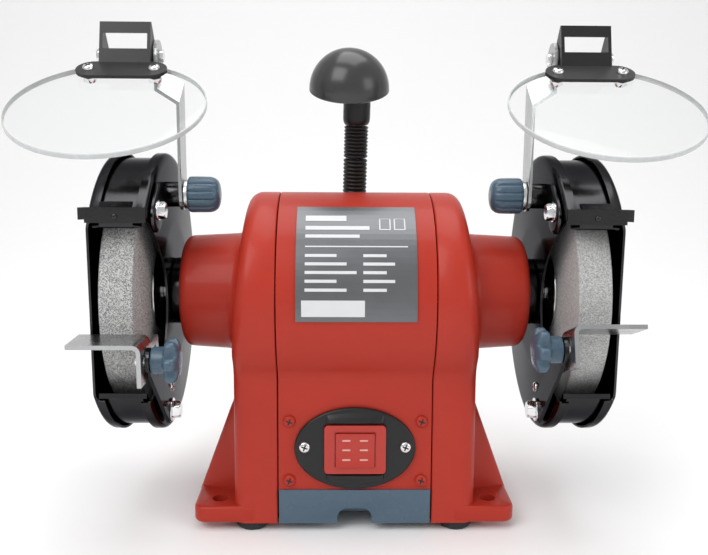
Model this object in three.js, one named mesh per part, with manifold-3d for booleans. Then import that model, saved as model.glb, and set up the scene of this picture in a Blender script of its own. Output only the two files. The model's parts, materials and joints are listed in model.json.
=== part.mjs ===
// Bench grinder with two guarded wheels, folding eye shields, tool rests,
// a water tray and a gooseneck work lamp. Millimetres, +Z up, front is -Y,
// the shaft runs along X. Every sided piece is drawn on the +X side and
// mirrored for the other side.
import * as THREE from "three";
import { mergeVertices } from "three/addons/utils/BufferGeometryUtils.js";
import Module from "manifold-3d";

const wasm = await Module();
wasm.setup();

// ---- clearances -----------------------------------------------------------
const touch_gap = 0.3;          // between pieces that touch
const slide_gap = 0.5;          // between pieces that slide or turn
const seam_gap = 0.6;           // visible joint between shell and end bells

// ---- housing --------------------------------------------------------------
const axis_height = 146.5;      // shaft axis above the bench
const housing_radius = 66;      // round upper body
const housing_wall = 2.8;
const housing_bottom = 5.5;
const base_half_depth = 54;     // front wall at the bottom
const waist_half_depth = 49;    // front wall where the round body starts
const waist_height = axis_height - 51.5;
const waist_fillet = 16;
const shell_half_length = 48.3;
const bell_top_reach = 68.5;    // end bell outer face at the top
const bell_foot_reach = 77;     // end bell outer face below the neck
const bell_kink_height = axis_height - 31.5;
const bell_rounding = 8;
const neck_root_radius = 38.5;
const neck_end_radius = 37;
const neck_reach = 112;
const neck_rounding = 6;
const neck_bore = 30;
const foot_flange_reach = 102.5;
const foot_flange_top = 16.5;
const foot_flange_chamfer = 5;
const mount_hole_x = 87;
const mount_hole_y = 40;
const mount_hole_radius = 5.2;
const gusset_half_width = 22;
const gusset_height = axis_height - 66.5;
const gusset_reach = 81.5;
const rubber_foot_radius = 10.5;
const rubber_foot_x = 65.6;
const rubber_foot_y = 43;

// ---- rotor ----------------------------------------------------------------
const spindle_radius = 6.35;
const journal_radius = 7.5;
const core_seat_radius = 9;
const wheel_radius = 75;
const wheel_width = 20;
const wheel_inner_face = 131;   // wheel side nearer the motor
const flange_radius = 26;
const flange_thickness = 3.6;
const nut_radius = 10.8;
const nut_thickness = 7;
const bearing_outer_radius = 17.5;
const bearing_width = 11;
const bearing_inner_face = 95.5;
const core_radius = 32;
const core_half_length = 31;
const air_gap = 0.8;

// ---- guards ---------------------------------------------------------------
const guard_radius = 91;
const guard_sheet = 1.5;
const guard_plateau_face = 119.5;
const guard_plateau_radius = 44;
const guard_rim_face = 121.8;
const guard_side_room = 5.8;    // wheel to outer cover
const guard_outer_face = wheel_inner_face + wheel_width + guard_side_room;
const guard_lip = 7;
const guard_rounding = 3;
const guard_front_cut = 73;
const guard_notch_apex = 27.5;
const band_radius = 88;
const band_inset = 3;           // clears the rolled corners of both covers
const cap_radius = 34;          // raised middle of the outer cover
const cap_reach = guard_outer_face + 10.2;
const spigot_radius = 22;

// ---- eye shields ----------------------------------------------------------
const shield_pivot_y = -18;     // arm clamp on the guard
const shield_pivot_z = axis_height + 65.5;
const arm_width = 20;
const arm_sheet = 2;
const arm_plane = 110;          // middle of the lower strip
const arm_fold_height = shield_pivot_z + 56.5;  // front corner of the lower fold
const arm_fold_slope = 33;      // degrees, fold line against horizontal
const arm_fold_angle = 75;      // degrees
const arm_step_out = 14.4;      // sideways step of the joggle
const lens_pivot_z = shield_pivot_z + 86;
const shield_knob_radius = 11.5;
const shield_knob_length = 23;
const lens_x = 141.5;
const lens_y = -74;
const lens_z = lens_pivot_z - 33.4;
const lens_radius = 56;
const lens_thickness = 3;
const lens_tilt = 28;           // degrees, front edge down
const bracket_sheet = 1.5;
const bracket_half_width = 15.5;
const bracket_top = lens_pivot_z + 19.5;
const bracket_window = [3.2, 12.6];      // above the pivot
const clamp_plate_length = 54.4;
const clamp_plate_depth = 20;
const clamp_plate_sheet = 2;
const clamp_plate_offset = 44;  // from the lens centre, along the lens
const clamp_bolt_spacing = 39.2;

// ---- tool rests -----------------------------------------------------------
const rest_bracket_face = 118;
const rest_bracket_sheet = 2.3;
const rest_bolt_y = -35;
const rest_bolt_z = axis_height - 71.5;
const rest_sheet = 2.5;
const rest_length = 41.5;
const rest_front = 15;
const rest_back = 12;
const rest_slot_back = 20;
const rest_flange_back = 33;
const rest_rise = 12.5;
const rest_drop = 12;
const rest_bend = 5;
const knob_stud_radius = 3;
const rests = {
  left: { knob_y: -89, knob_z: axis_height - 24.5, tilt: 0, shift: 0 },
  right: { knob_y: -90, knob_z: axis_height - 17.5, tilt: 20, shift: -3 },
};

// ---- spark arrester -------------------------------------------------------
const arrester_bottom = axis_height + 53;
const arrester_top = arrester_bottom + 9;
const arrester_sheet = 1.5;

// ---- switch, plate, tray, lamp --------------------------------------------
const switch_height = 55.3;
const bezel_length = 76.6;
const bezel_height = 53;
const bezel_sheet = 3;
const hood_length = 60;
const hood_rise = 3;
const frame_length = 38.6;
const frame_height = 31;
const rocker_length = 24.4;
const rocker_height = 21.4;
const plate_half_length = 36.5;
const plate_sheet = 0.8;
const plate_low_angle = -5.7;   // degrees above the horizontal through the axis
const plate_high_angle = 61.7;
const tray_top = 27.9;
const tray_depth = 70;
const tray_wall = 1.6;
const tray_panel = 2.5;
const tray_tub_half = 43;
const notch_width = 22;
const notch_height = 10;
const channel_sheet = 1.5;
const lamp_x = 0.5;
const lamp_y = 45;
const lamp_tube_radius = 8.3;
const lamp_socket_top = axis_height + 62.5;
const lamp_joint_gap = 1;
const lamp_lower_length = 25;
const lamp_upper_length = 23;
const lamp_lean_x = 0.02;       // sideways and forward slope of the neck
const lamp_lean_y = -0.12;
const lamp_sleeve_radius = 9.5;
const lamp_sleeve_length = 36;
const lamp_elbow_length = 27;
const lamp_elbow_angle = 35;    // degrees, forward from the sleeve
const shade_radius = 26.5;
const shade_wall = 1.8;
const shade_tilt = 23;          // degrees, top leans to the front
const shade_x = -4;
const shade_y = 12;
const shade_z = lamp_socket_top + 71;

// ---- shared helpers -------------------------------------------------------
const rad = THREE.MathUtils.degToRad;
const vec = (x, y, z) => new THREE.Vector3(x, y, z);

function signedVolume(geometry) {
  const position = geometry.attributes.position;
  const index = geometry.index;
  const corners = [vec(0, 0, 0), vec(0, 0, 0), vec(0, 0, 0)];
  let volume = 0;
  for (let i = 0; i < index.count; i += 3) {
    corners.forEach((corner, k) => corner.fromBufferAttribute(position, index.getX(i + k)));
    volume += corners[0].dot(corners[1].cross(corners[2])) / 6;
  }
  return volume;
}

// One closed mesh: merged corners, no zero-area triangles, faces outward.
function tidy(geometry) {
  const bare = new THREE.BufferGeometry();
  bare.setAttribute("position", geometry.attributes.position.clone());
  if (geometry.index) bare.setIndex(geometry.index.clone());
  const merged = mergeVertices(bare, 1e-4);
  const kept = [];
  for (let i = 0; i < merged.index.count; i += 3) {
    const [a, b, c] = [0, 1, 2].map((k) => merged.index.getX(i + k));
    if (a !== b && b !== c && c !== a) kept.push([a, b, c]);
  }
  merged.setIndex(kept.flat());
  if (signedVolume(merged) < 0) merged.setIndex(kept.map(([a, b, c]) => [a, c, b]).flat());
  return merged;
}

function toSolid(geometry) {
  const closed = tidy(geometry);
  return new wasm.Manifold(new wasm.Mesh({
    numProp: 3,
    vertProperties: Float32Array.from(closed.attributes.position.array),
    triVerts: Uint32Array.from(closed.index.array),
  }));
}

function toGeometry(solid) {
  const mesh = solid.getMesh();
  const geometry = new THREE.BufferGeometry();
  geometry.setAttribute("position", new THREE.BufferAttribute(mesh.vertProperties, 3));
  geometry.setIndex(new THREE.BufferAttribute(mesh.triVerts, 1));
  return geometry;
}

const join = (...pieces) => toGeometry(pieces.map(toSolid).reduce((a, b) => a.add(b)));

function cut(base, ...tools) {
  return toGeometry(tools.map(toSolid).reduce((a, b) => a.subtract(b), toSolid(base)));
}

function keep(base, tool) {
  return toGeometry(toSolid(base).intersect(toSolid(tool)));
}

// Swaps left and right.
function mirrored(geometry) {
  const copy = geometry.clone();
  copy.scale(-1, 1, 1);
  return tidy(copy);
}

function moved(geometry, x, y, z) {
  return geometry.clone().translate(x, y, z);
}

// Ring or disc around the X axis from [radius, x] corners.
function turned(profile, segments = 48) {
  const geometry = new THREE.LatheGeometry(profile.map(([r, x]) => new THREE.Vector2(r, x)), segments);
  return tidy(geometry.rotateZ(-Math.PI / 2));
}

// The same around a vertical axis, from [radius, z] corners.
function turnedUpright(profile, segments = 48) {
  const geometry = new THREE.LatheGeometry(profile.map(([r, z]) => new THREE.Vector2(r, z)), segments);
  return tidy(geometry.rotateX(Math.PI / 2));
}

function cylinderX(radius, x0, x1, y = 0, z = 0, segments = 32) {
  return moved(turned([[0, x0], [radius, x0], [radius, x1], [0, x1]], segments), 0, y, z);
}

function box(x0, x1, y0, y1, z0, z1) {
  const geometry = new THREE.BoxGeometry(x1 - x0, y1 - y0, z1 - z0);
  return moved(geometry, (x0 + x1) / 2, (y0 + y1) / 2, (z0 + z1) / 2);
}

const extrude = (shape, depth, curveSegments = 12) =>
  new THREE.ExtrudeGeometry(shape, { depth, bevelEnabled: false, curveSegments });

// Outline in (y, z) pushed along X.
function prismX(shape, x0, x1, curveSegments) {
  const basis = new THREE.Matrix4().makeBasis(vec(0, 1, 0), vec(0, 0, 1), vec(1, 0, 0));
  return moved(extrude(shape, x1 - x0, curveSegments).applyMatrix4(basis), x0, 0, 0);
}

// Outline in (x, z) pushed along Y.
function prismY(shape, y0, y1, curveSegments) {
  const basis = new THREE.Matrix4().makeBasis(vec(1, 0, 0), vec(0, 0, 1), vec(0, -1, 0));
  return moved(extrude(shape, y1 - y0, curveSegments).applyMatrix4(basis), 0, y1, 0);
}

// Outline in (x, y) pushed along Z.
function prismZ(shape, z0, z1, curveSegments) {
  return moved(extrude(shape, z1 - z0, curveSegments), 0, 0, z0);
}

const polygon = (points) => new THREE.Shape(points.map(([a, b]) => new THREE.Vector2(a, b)));

function roundedRect(a0, a1, b0, b1, r) {
  const shape = new THREE.Shape();
  shape.moveTo(a0 + r, b0);
  shape.lineTo(a1 - r, b0);
  shape.absarc(a1 - r, b0 + r, r, -Math.PI / 2, 0, false);
  shape.lineTo(a1, b1 - r);
  shape.absarc(a1 - r, b1 - r, r, 0, Math.PI / 2, false);
  shape.lineTo(a0 + r, b1);
  shape.absarc(a0 + r, b1 - r, r, Math.PI / 2, Math.PI, false);
  shape.lineTo(a0, b0 + r);
  shape.absarc(a0 + r, b0 + r, r, Math.PI, 1.5 * Math.PI, false);
  return shape;
}

// Bar with round ends between two centres.
function slotShape(a0, b0, r0, a1, b1, r1 = r0) {
  const heading = Math.atan2(b1 - b0, a1 - a0);
  const shape = new THREE.Shape();
  shape.absarc(a0, b0, r0, heading + Math.PI / 2, heading + 1.5 * Math.PI, false);
  shape.absarc(a1, b1, r1, heading - Math.PI / 2, heading + Math.PI / 2, false);
  return shape;
}

// Closed skin through rings of equal count, with caps made of level strips.
function skin(rings) {
  const count = rings[0].length;
  const points = rings.flat();
  const faces = [];
  for (let ring = 0; ring + 1 < rings.length; ring += 1) {
    for (let i = 0; i < count; i += 1) {
      const a = ring * count + i;
      const b = ring * count + ((i + 1) % count);
      faces.push(a, b, b + count, a, b + count, a + count);
    }
  }
  [0, (rings.length - 1) * count].forEach((start, end) => {
    for (let i = 0; i + 1 < count - 1 - i; i += 1) {
      const quad = [start + i, start + i + 1, start + count - 2 - i, start + count - 1 - i];
      const [a, b, c, d] = end ? quad : quad.slice().reverse();
      faces.push(a, b, c, a, c, d);
    }
  });
  const geometry = new THREE.BufferGeometry();
  geometry.setAttribute("position", new THREE.Float32BufferAttribute(points.flatMap((p) => [p.x, p.y,
    p.z]), 3));
  geometry.setIndex(faces);
  return tidy(geometry);
}

// ---- housing outline ------------------------------------------------------
const axis = new THREE.Vector2(0, axis_height);
const wall_foot = new THREE.Vector2(-base_half_depth, housing_bottom);
const wall_run = new THREE.Vector2(-waist_half_depth, waist_height).sub(wall_foot).normalize();
const wall_out = new THREE.Vector2(-wall_run.y, wall_run.x);

// Front wall at a height, measured outward from the centre plane.
function wallDepth(z) {
  return base_half_depth - (z - housing_bottom) * (wall_run.x / wall_run.y);
}

// Arch section in (y, z): front wall, concave waist, round top, mirrored back.
function housingOutline(inset, bottom = housing_bottom) {
  const offset = wall_foot.clone().addScaledVector(wall_out, waist_fillet).sub(axis);
  const along = offset.dot(wall_run);
  const reach = (housing_radius + waist_fillet) ** 2;
  const travel = -along - Math.sqrt(along * along - offset.lengthSq() + reach);
  const centre = offset.addScaledVector(wall_run, travel).add(axis);
  const wall_angle = Math.atan2(-wall_out.y, -wall_out.x);
  const arc_angle = Math.atan2(axis.y - centre.y, axis.x - centre.x);
  const points = [new THREE.Vector2(-wallDepth(bottom) + inset, bottom)];
  const fillet_steps = 2;
  for (let i = 0; i <= fillet_steps; i += 1) {
    const angle = wall_angle + ((arc_angle - wall_angle) * i) / fillet_steps;
    const radius = waist_fillet + inset;
    points.push(new THREE.Vector2(centre.x + radius * Math.cos(angle),
      centre.y + radius * Math.sin(angle)));
  }
  const arc_steps = 9;
  const start = arc_angle + Math.PI;
  for (let i = 1; i <= arc_steps; i += 1) {
    const angle = start + ((Math.PI / 2 - start) * i) / arc_steps;
    const radius = housing_radius - inset;
    points.push(new THREE.Vector2(radius * Math.cos(angle), axis_height + radius * Math.sin(angle)));
  }
  const back = points.slice(0, -1).reverse().map((p) => new THREE.Vector2(-p.x, p.y));
  return [...points, ...back];
}

function housingRing(x, inset, bottom, lean = () => 0) {
  return housingOutline(inset, bottom).map((p) => vec(x + lean(p.y), p.x, p.y));
}

// How much further the end bell reaches at a height than at its top.
function bellLean(z) {
  const top = axis_height + housing_radius;
  const share = THREE.MathUtils.clamp((top - z) / (top - bell_kink_height), 0, 1);
  return share * (bell_foot_reach - bell_top_reach);
}

// ---- housing pieces -------------------------------------------------------
const bell_start = shell_half_length + seam_gap;
const channel_top = tray_top + slide_gap + channel_sheet;

function motorShell() {
  const outer = skin([housingRing(-shell_half_length, 0), housingRing(shell_half_length, 0)]);
  const beyond = shell_half_length + 1;
  const below = housing_bottom - 1;
  const inner = skin([
    housingRing(-beyond, housing_wall, below),
    housingRing(beyond, housing_wall, below),
  ]);
  const tray_mouth = box(-beyond, beyond, -base_half_depth - 2, 0, below, tray_top + slide_gap);
  const half_length = switch_body_half_length + touch_gap;
  const half_height = switch_body_half_height + touch_gap;
  const switch_hole = box(-half_length, half_length, -base_half_depth - 2, 0,
    switch_height - half_height, switch_height + half_height);
  const lamp_hole = moved(turnedUpright([[0, 0], [lamp_stub_radius + touch_gap, 0],
    [lamp_stub_radius + touch_gap, 40], [0, 40]], 16), lamp_x, lamp_y, axis_height + 20);
  const gland_hole = moved(new THREE.CylinderGeometry(gland_radius + touch_gap, gland_radius + touch_gap,
    20, 14),
    gland_x, base_half_depth - 5, gland_z);
  return cut(outer, inner, tray_mouth, switch_hole, lamp_hole, gland_hole);
}

function endBell() {
  const steps = 2;
  const rings = [housingRing(bell_start, 0)];
  for (let i = 0; i <= steps; i += 1) {
    const angle = ((Math.PI / 2) * i) / steps;
    const x = bell_top_reach - bell_rounding * (1 - Math.sin(angle));
    rings.push(housingRing(x, bell_rounding * (1 - Math.cos(angle)), housing_bottom, bellLean));
  }
  const cavity = skin([
    housingRing(bell_start - 1, housing_wall, housing_bottom + housing_wall),
    housingRing(bell_top_reach - bell_rounding, housing_wall, housing_bottom + housing_wall, bellLean),
    housingRing(bell_top_reach - housing_wall, bell_rounding, housing_bottom + housing_wall, bellLean),
  ]);
  const rounding = [0, 1, 2].map((i) => {
    const angle = (Math.PI / 4) * i;
    return [neck_end_radius - neck_rounding * (1 - Math.cos(angle)),
      neck_reach - neck_rounding * (1 - Math.sin(angle))];
  });
  const neck = turned([[0, bell_start + 10], [neck_root_radius, bell_start + 10], [neck_root_radius,
    bell_top_reach],
    ...rounding, [spigot_radius, neck_reach], [spigot_radius, guard_plateau_face - touch_gap],
    [0, guard_plateau_face - touch_gap]], 28);
  const seat_end = bearing_inner_face + bearing_width + touch_gap;
  const neck_hollow = turned([[0, bell_start], [neck_bore, bell_start], [neck_bore, bearing_inner_face - 2],
    [bearing_outer_radius + touch_gap, bearing_inner_face - 2], [bearing_outer_radius + touch_gap,
      seat_end],
    [journal_radius + 1, seat_end], [journal_radius + 1, guard_plateau_face + 1], [0,
      guard_plateau_face + 1]], 20);
  const flange = prismY(polygon([[bell_start + 14, housing_bottom],
    [foot_flange_reach - foot_flange_chamfer, housing_bottom],
    [foot_flange_reach, housing_bottom + foot_flange_chamfer], [foot_flange_reach, foot_flange_top],
    [bell_start + 14, foot_flange_top]]), -base_half_depth, base_half_depth);
  const corner_trim = roundedRect(0, foot_flange_reach, -base_half_depth, base_half_depth, 7);
  const foot = keep(flange, prismZ(corner_trim, housing_bottom - 1, foot_flange_top + 1, 4));
  const gusset = prismY(polygon([[bell_start + 14, foot_flange_top - 1], [foot_flange_reach,
    foot_flange_top - 1],
    [foot_flange_reach, foot_flange_top + 3], [gusset_reach - 2, gusset_height], [bell_start + 14,
      gusset_height]]),
  -gusset_half_width, gusset_half_width);
  const holes = [-1, 1].map((side) => moved(turnedUpright([[0, 0], [mount_hole_radius, 0],
    [mount_hole_radius, 30],
    [0, 30]], 14), mount_hole_x, side * mount_hole_y, 0));
  const body = join(skin(rings), moved(neck, 0, 0, axis_height), foot, gusset);
  const foot_sockets = [-1, 1].map((side) => footStud(rubber_foot_stud_radius + touch_gap, side));
  return cut(body, cavity, moved(neck_hollow, 0, 0, axis_height), ...holes, ...foot_sockets);
}

const rubber_foot_stud_radius = 3;

function footStud(radius, side) {
  return moved(turnedUpright([[0, housing_bottom - 2], [radius, housing_bottom - 2],
    [radius, housing_bottom + housing_wall + 1], [0, housing_bottom + housing_wall + 1]], 10),
  rubber_foot_x, side * rubber_foot_y, 0);
}

function rubberFoot(side) {
  const top = housing_bottom - touch_gap;
  const pad = turnedUpright([[0, 0], [rubber_foot_radius - 1.5, 0], [rubber_foot_radius, 1.5],
    [rubber_foot_radius, top], [0, top]], 14);
  return join(moved(pad, rubber_foot_x, side * rubber_foot_y, 0), footStud(rubber_foot_stud_radius, side));
}

// Sheet that carries the tray and closes the bottom behind it.
function basePlate() {
  const under = housing_bottom + touch_gap;
  const half = shell_half_length - touch_gap;
  const web = tray_back + slide_gap;
  const back = base_half_depth - housing_wall - 1;
  const sheet = prismX(polygon([[-wallDepth(channel_top) + housing_wall + 1, channel_top - channel_sheet],
    [web, channel_top - channel_sheet], [web, under], [back, under], [back, under + channel_sheet],
    [web + channel_sheet, under + channel_sheet], [web + channel_sheet, channel_top],
    [-wallDepth(channel_top) + housing_wall + 1, channel_top]]), -half, half);
  const rail_in = tray_tub_half + slide_gap;
  const rails = [-1, 1].map((side) => {
    const corners = [[rail_in, channel_top - channel_sheet / 2], [rail_in, under + channel_sheet],
      [rail_in - 3, under + channel_sheet], [rail_in - 3, under], [rail_in + channel_sheet, under],
      [rail_in + channel_sheet, channel_top - channel_sheet / 2]];
    return prismY(polygon(corners.map(([x, z]) => [side * x, z])), -wallDepth(tray_top) + 8,
      web + channel_sheet / 2);
  });
  return join(sheet, ...rails);
}

const tray_back = tray_depth - base_half_depth;

function waterTray() {
  const front = -wallDepth(housing_bottom);
  const panel_half = shell_half_length - touch_gap;
  const panel = box(-panel_half, panel_half, front, front + tray_panel, housing_bottom, tray_top);
  const floor = housing_bottom + touch_gap + channel_sheet + slide_gap;
  const tub = box(-tray_tub_half, tray_tub_half, front + tray_panel - 0.2, tray_back, floor,
    tray_top - 1.5);
  const pocket_back = front + 13;
  const basin = box(-tray_tub_half + tray_wall, tray_tub_half - tray_wall, pocket_back + tray_wall,
    tray_back - tray_wall, floor + tray_wall, tray_top + 1);
  const arch = new THREE.Shape();
  const corner = 6.5;
  arch.moveTo(-notch_width / 2, 0);
  arch.lineTo(notch_width / 2, 0);
  arch.lineTo(notch_width / 2, housing_bottom + notch_height - corner);
  arch.absarc(notch_width / 2 - corner, housing_bottom + notch_height - corner, corner, 0, Math.PI / 2,
    false);
  arch.absarc(-notch_width / 2 + corner, housing_bottom + notch_height - corner, corner, Math.PI / 2,
    Math.PI, false);
  return cut(join(panel, tub), basin, prismY(arch, front - 1, pocket_back, 6));
}

// ---- rating plate, switch -------------------------------------------------
function ratingPlate() {
  const inner = housing_radius + touch_gap;
  const outer = inner + plate_sheet;
  const low = Math.PI - rad(plate_low_angle);
  const high = Math.PI - rad(plate_high_angle);
  const shape = new THREE.Shape();
  shape.absarc(0, axis_height, outer, high, low, false);
  shape.absarc(0, axis_height, inner, low, high, true);
  return prismX(shape, -plate_half_length, plate_half_length, 10);
}

const switch_body_half_length = frame_length / 2 - 1;
const switch_body_half_height = frame_height / 2 - 1;
const wall_slope = Math.atan2(wall_run.x, wall_run.y);
const rocker_depth = 6;

// Pieces on the sloping front wall are drawn around the switch centre with
// -Y pointing out of the wall.
function onFrontWall(geometry) {
  const placed = geometry.clone().rotateX(-wall_slope);
  return placed.translate(0, -wallDepth(switch_height), switch_height);
}

function ellipse(length, height) {
  const shape = new THREE.Shape();
  shape.absellipse(0, 0, length / 2, height / 2, 0, 2 * Math.PI, false, 0);
  return shape;
}

function switchBezel() {
  const face = prismY(ellipse(bezel_length, bezel_height), -bezel_sheet - touch_gap, -touch_gap, 14);
  const hood = keep(
    prismY(ellipse(hood_length, bezel_height - 0.2), -bezel_sheet - hood_rise, -bezel_sheet, 14),
    box(-hood_length, hood_length, -20, 0, -bezel_height, bezel_height),
  );
  const side_relief = [-1, 1].map((side) => box(
    side > 0 ? frame_length / 2 - 1 : -hood_length, side > 0 ? hood_length : -frame_length / 2 + 1,
    -20, -bezel_sheet - touch_gap, -frame_height / 2 - 1, frame_height / 2 + 1));
  const half = frame_length / 2 + touch_gap;
  const tall = frame_height / 2 + touch_gap;
  return onFrontWall(cut(join(face, hood), ...side_relief, box(-half, half, -20, 1, -tall, tall)));
}

function switchFrame() {
  const half = rocker_length / 2 + slide_gap;
  const tall = rocker_height / 2 + slide_gap;
  const outer = prismY(roundedRect(-frame_length / 2, frame_length / 2, -frame_height / 2,
    frame_height / 2, 2.5),
    -5.5, -0.5, 4);
  return onFrontWall(cut(outer, box(-half, half, -10, -2.2, -tall, tall)));
}

function switchRocker() {
  const face = [];
  const steps = 8;
  for (let i = 0; i <= steps; i += 1) {
    const share = (2 * i) / steps - 1;
    face.push([-7.2 + 1.2 * (1 - share * share), (share * rocker_height) / 2]);
  }
  const outline = polygon([...face, [-4.2, rocker_height / 2], [-3.4, 0], [-4.2, -rocker_height / 2]]);
  return onFrontWall(prismX(outline, -rocker_length / 2, rocker_length / 2));
}

function switchBody() {
  return onFrontWall(box(-switch_body_half_length, switch_body_half_length, -touch_gap, 24,
    -switch_body_half_height, switch_body_half_height));
}

// ---- motor ----------------------------------------------------------------
function shaft() {
  const seat = core_half_length + 4;
  const journal = bearing_inner_face - 1;
  const thread = bearing_inner_face + bearing_width + 8;
  const tip = spindle_tip;
  const half = [[core_seat_radius, seat], [journal_radius + 1.2, seat], [journal_radius + 1.2, journal],
    [journal_radius, journal], [journal_radius, thread], [spindle_radius, thread], [spindle_radius,
      tip - 1.5],
    [spindle_radius - 1.5, tip], [0, tip]];
  const other = half.slice().reverse().map(([r, x]) => [r, -x]);
  return moved(turned([...other, ...half], 12), 0, 0, axis_height);
}

const wheel_outer_face = wheel_inner_face + wheel_width;
const nut_face = wheel_outer_face + 2 * touch_gap + flange_thickness;
const spindle_tip = nut_face + nut_thickness + 3;

function rotorCore() {
  const bore = core_seat_radius + touch_gap;
  const body = [[bore, -core_half_length], [core_radius - 1, -core_half_length - 3], [core_radius,
    -core_half_length],
    [core_radius, core_half_length], [core_radius - 1, core_half_length + 3], [bore, core_half_length],
    [bore, -core_half_length]];
  return moved(turned(body, 18), 0, 0, axis_height);
}

function stator() {
  const bore = core_radius + air_gap;
  const outer = housing_radius - housing_wall - slide_gap;
  const end = core_half_length + 13;
  const profile = [[bore, -core_half_length], [bore + 5, -core_half_length], [bore + 5, -end + 2],
    [bore + 8, -end], [outer - 9, -end], [outer - 6, -end + 3], [outer - 6, -core_half_length],
    [outer, -core_half_length]];
  const other = profile.slice().reverse().map(([r, x]) => [r, -x]);
  return moved(turned([...profile, ...other, profile[0]], 16), 0, 0, axis_height);
}

function bearing() {
  const inner = journal_radius + touch_gap;
  const x0 = bearing_inner_face;
  const x1 = bearing_inner_face + bearing_width;
  const profile = [[inner, x0], [bearing_outer_radius, x0], [bearing_outer_radius, x1], [inner, x1],
    [inner, x0]];
  return moved(turned(profile, 20), 0, 0, axis_height);
}

function capacitor() {
  const can = turned([[0, -28], [15, -28], [16, -27], [16, 27], [15, 28], [0, 28]], 18);
  return moved(can, 0, 26, channel_top + 18);
}

const gland_radius = 6;
const gland_x = 28;
const gland_z = 48;
const gland_gap = 0.9;            // the collar is square, the wall slopes

function cableGland() {
  const wall = wallDepth(gland_z);
  const profile = [[0, wall - 8], [gland_radius, wall - 8], [gland_radius, wall + gland_gap],
    [gland_radius + 3.5, wall + gland_gap], [gland_radius + 3.5, wall + 5], [gland_radius + 1, wall + 7],
    [gland_radius, wall + 14], [3.5, wall + 15], [3.5, wall + 9], [0, wall + 9]];
  const geometry = new THREE.LatheGeometry(profile.map(([r, y]) => new THREE.Vector2(r, y)), 14);
  return moved(tidy(geometry), gland_x, 0, gland_z);
}

// ---- wheels ---------------------------------------------------------------
function grindingWheel() {
  const bore = spindle_radius + touch_gap;
  const chamfer = 0.8;
  const profile = [[bore, wheel_inner_face], [wheel_radius - chamfer, wheel_inner_face],
    [wheel_radius, wheel_inner_face + chamfer], [wheel_radius, wheel_outer_face - chamfer],
    [wheel_radius - chamfer, wheel_outer_face], [bore, wheel_outer_face], [bore, wheel_inner_face]];
  return moved(turned(profile, 40), 0, 0, axis_height);
}

// Cupped washer: `face` is the wheel side, `away` points off the wheel.
function wheelFlange(face, away) {
  const bore = spindle_radius + touch_gap;
  const at = (depth) => face + away * depth;
  const profile = [[bore, at(1)], [flange_radius - 5, at(1)], [flange_radius - 4.5, at(0)],
    [flange_radius, at(0)], [flange_radius, at(flange_thickness * 0.45)],
    [flange_radius - 3, at(flange_thickness * 0.7)], [bore + 9, at(flange_thickness)],
    [bore, at(flange_thickness)], [bore, at(1)]];
  return moved(turned(profile, 16), 0, 0, axis_height);
}

function spindleNut() {
  const hexagon = turned([[spindle_radius + touch_gap, nut_face], [nut_radius - 1, nut_face],
    [nut_radius, nut_face + 0.8], [nut_radius, nut_face + nut_thickness - 0.8],
    [nut_radius - 1, nut_face + nut_thickness], [spindle_radius + touch_gap, nut_face + nut_thickness],
    [spindle_radius + touch_gap, nut_face]], 6);
  const flats = cylinderX(spindle_radius + touch_gap, nut_face - 1, nut_face + nut_thickness + 1, 0, 0, 12);
  return moved(cut(hexagon, flats), 0, 0, axis_height);
}

// ---- guards ---------------------------------------------------------------
const guard_segments = 36;

// Open front: everything ahead of the front cut goes.
function frontTrim(x0, x1) {
  return box(x0, x1, -2 * guard_radius, -guard_front_cut, -2 * guard_radius, 2 * guard_radius);
}

function notchTrim() {
  const shape = new THREE.Shape();
  const high = Math.sqrt(guard_radius ** 2 - guard_front_cut ** 2) + 1.5;
  shape.moveTo(-guard_front_cut - 20, high + 3);
  shape.lineTo(-guard_front_cut, high);
  shape.quadraticCurveTo(-guard_notch_apex - 2, high * 0.55, -guard_notch_apex, 0);
  shape.quadraticCurveTo(-guard_notch_apex - 2, -high * 0.6, -guard_front_cut, -high);
  shape.lineTo(-guard_front_cut - 20, -high - 3);
  return prismX(shape, guard_plateau_face - 12, guard_rim_face + guard_sheet + guard_lip + 1, 7);
}

function lipArc(side, face, reach) {
  return [0, 1].map((i) => {
    const angle = (Math.PI / 2) * i;
    const radius = guard_radius - reach;
    return [radius - guard_rounding + guard_rounding * Math.sin(angle),
      face + side * (guard_rounding - guard_rounding * Math.cos(angle))];
  });
}

function innerCoverRing() {
  const lip_end = guard_rim_face + guard_lip;
  const outer = [[guard_plateau_radius, guard_plateau_face], ...lipArc(1, guard_rim_face, 0),
    [guard_radius, lip_end]];
  const inner = outer.map(([r, x]) => [r, x]).reverse();
  const inside = [[guard_radius - guard_sheet, lip_end], ...lipArc(1, guard_rim_face + guard_sheet,
    guard_sheet).reverse(),
    [guard_plateau_radius, guard_plateau_face + guard_sheet]];
  const bore = journal_radius + 2;
  const profile = [[bore, guard_plateau_face], ...inner.reverse(), ...inside,
    [bore, guard_plateau_face + guard_sheet], [bore, guard_plateau_face]];
  return turned(profile, guard_segments);
}

// Raised drop-shaped emboss that carries a guard bolt.
function bossShape(grow) {
  const shape = new THREE.Shape();
  const base = 10 + grow;
  shape.moveTo(0, 22 + grow * 1.6);
  shape.quadraticCurveTo(-base * 0.75, 8, -base, -1);
  shape.quadraticCurveTo(-base, -9 - grow, 0, -11 - grow);
  shape.quadraticCurveTo(base, -9 - grow, base, -1);
  shape.quadraticCurveTo(base * 0.75, 8, 0, 22 + grow * 1.6);
  return shape;
}

const boss_y = -43;
const boss_z = 59;
const boss_height = 4.5;

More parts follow.
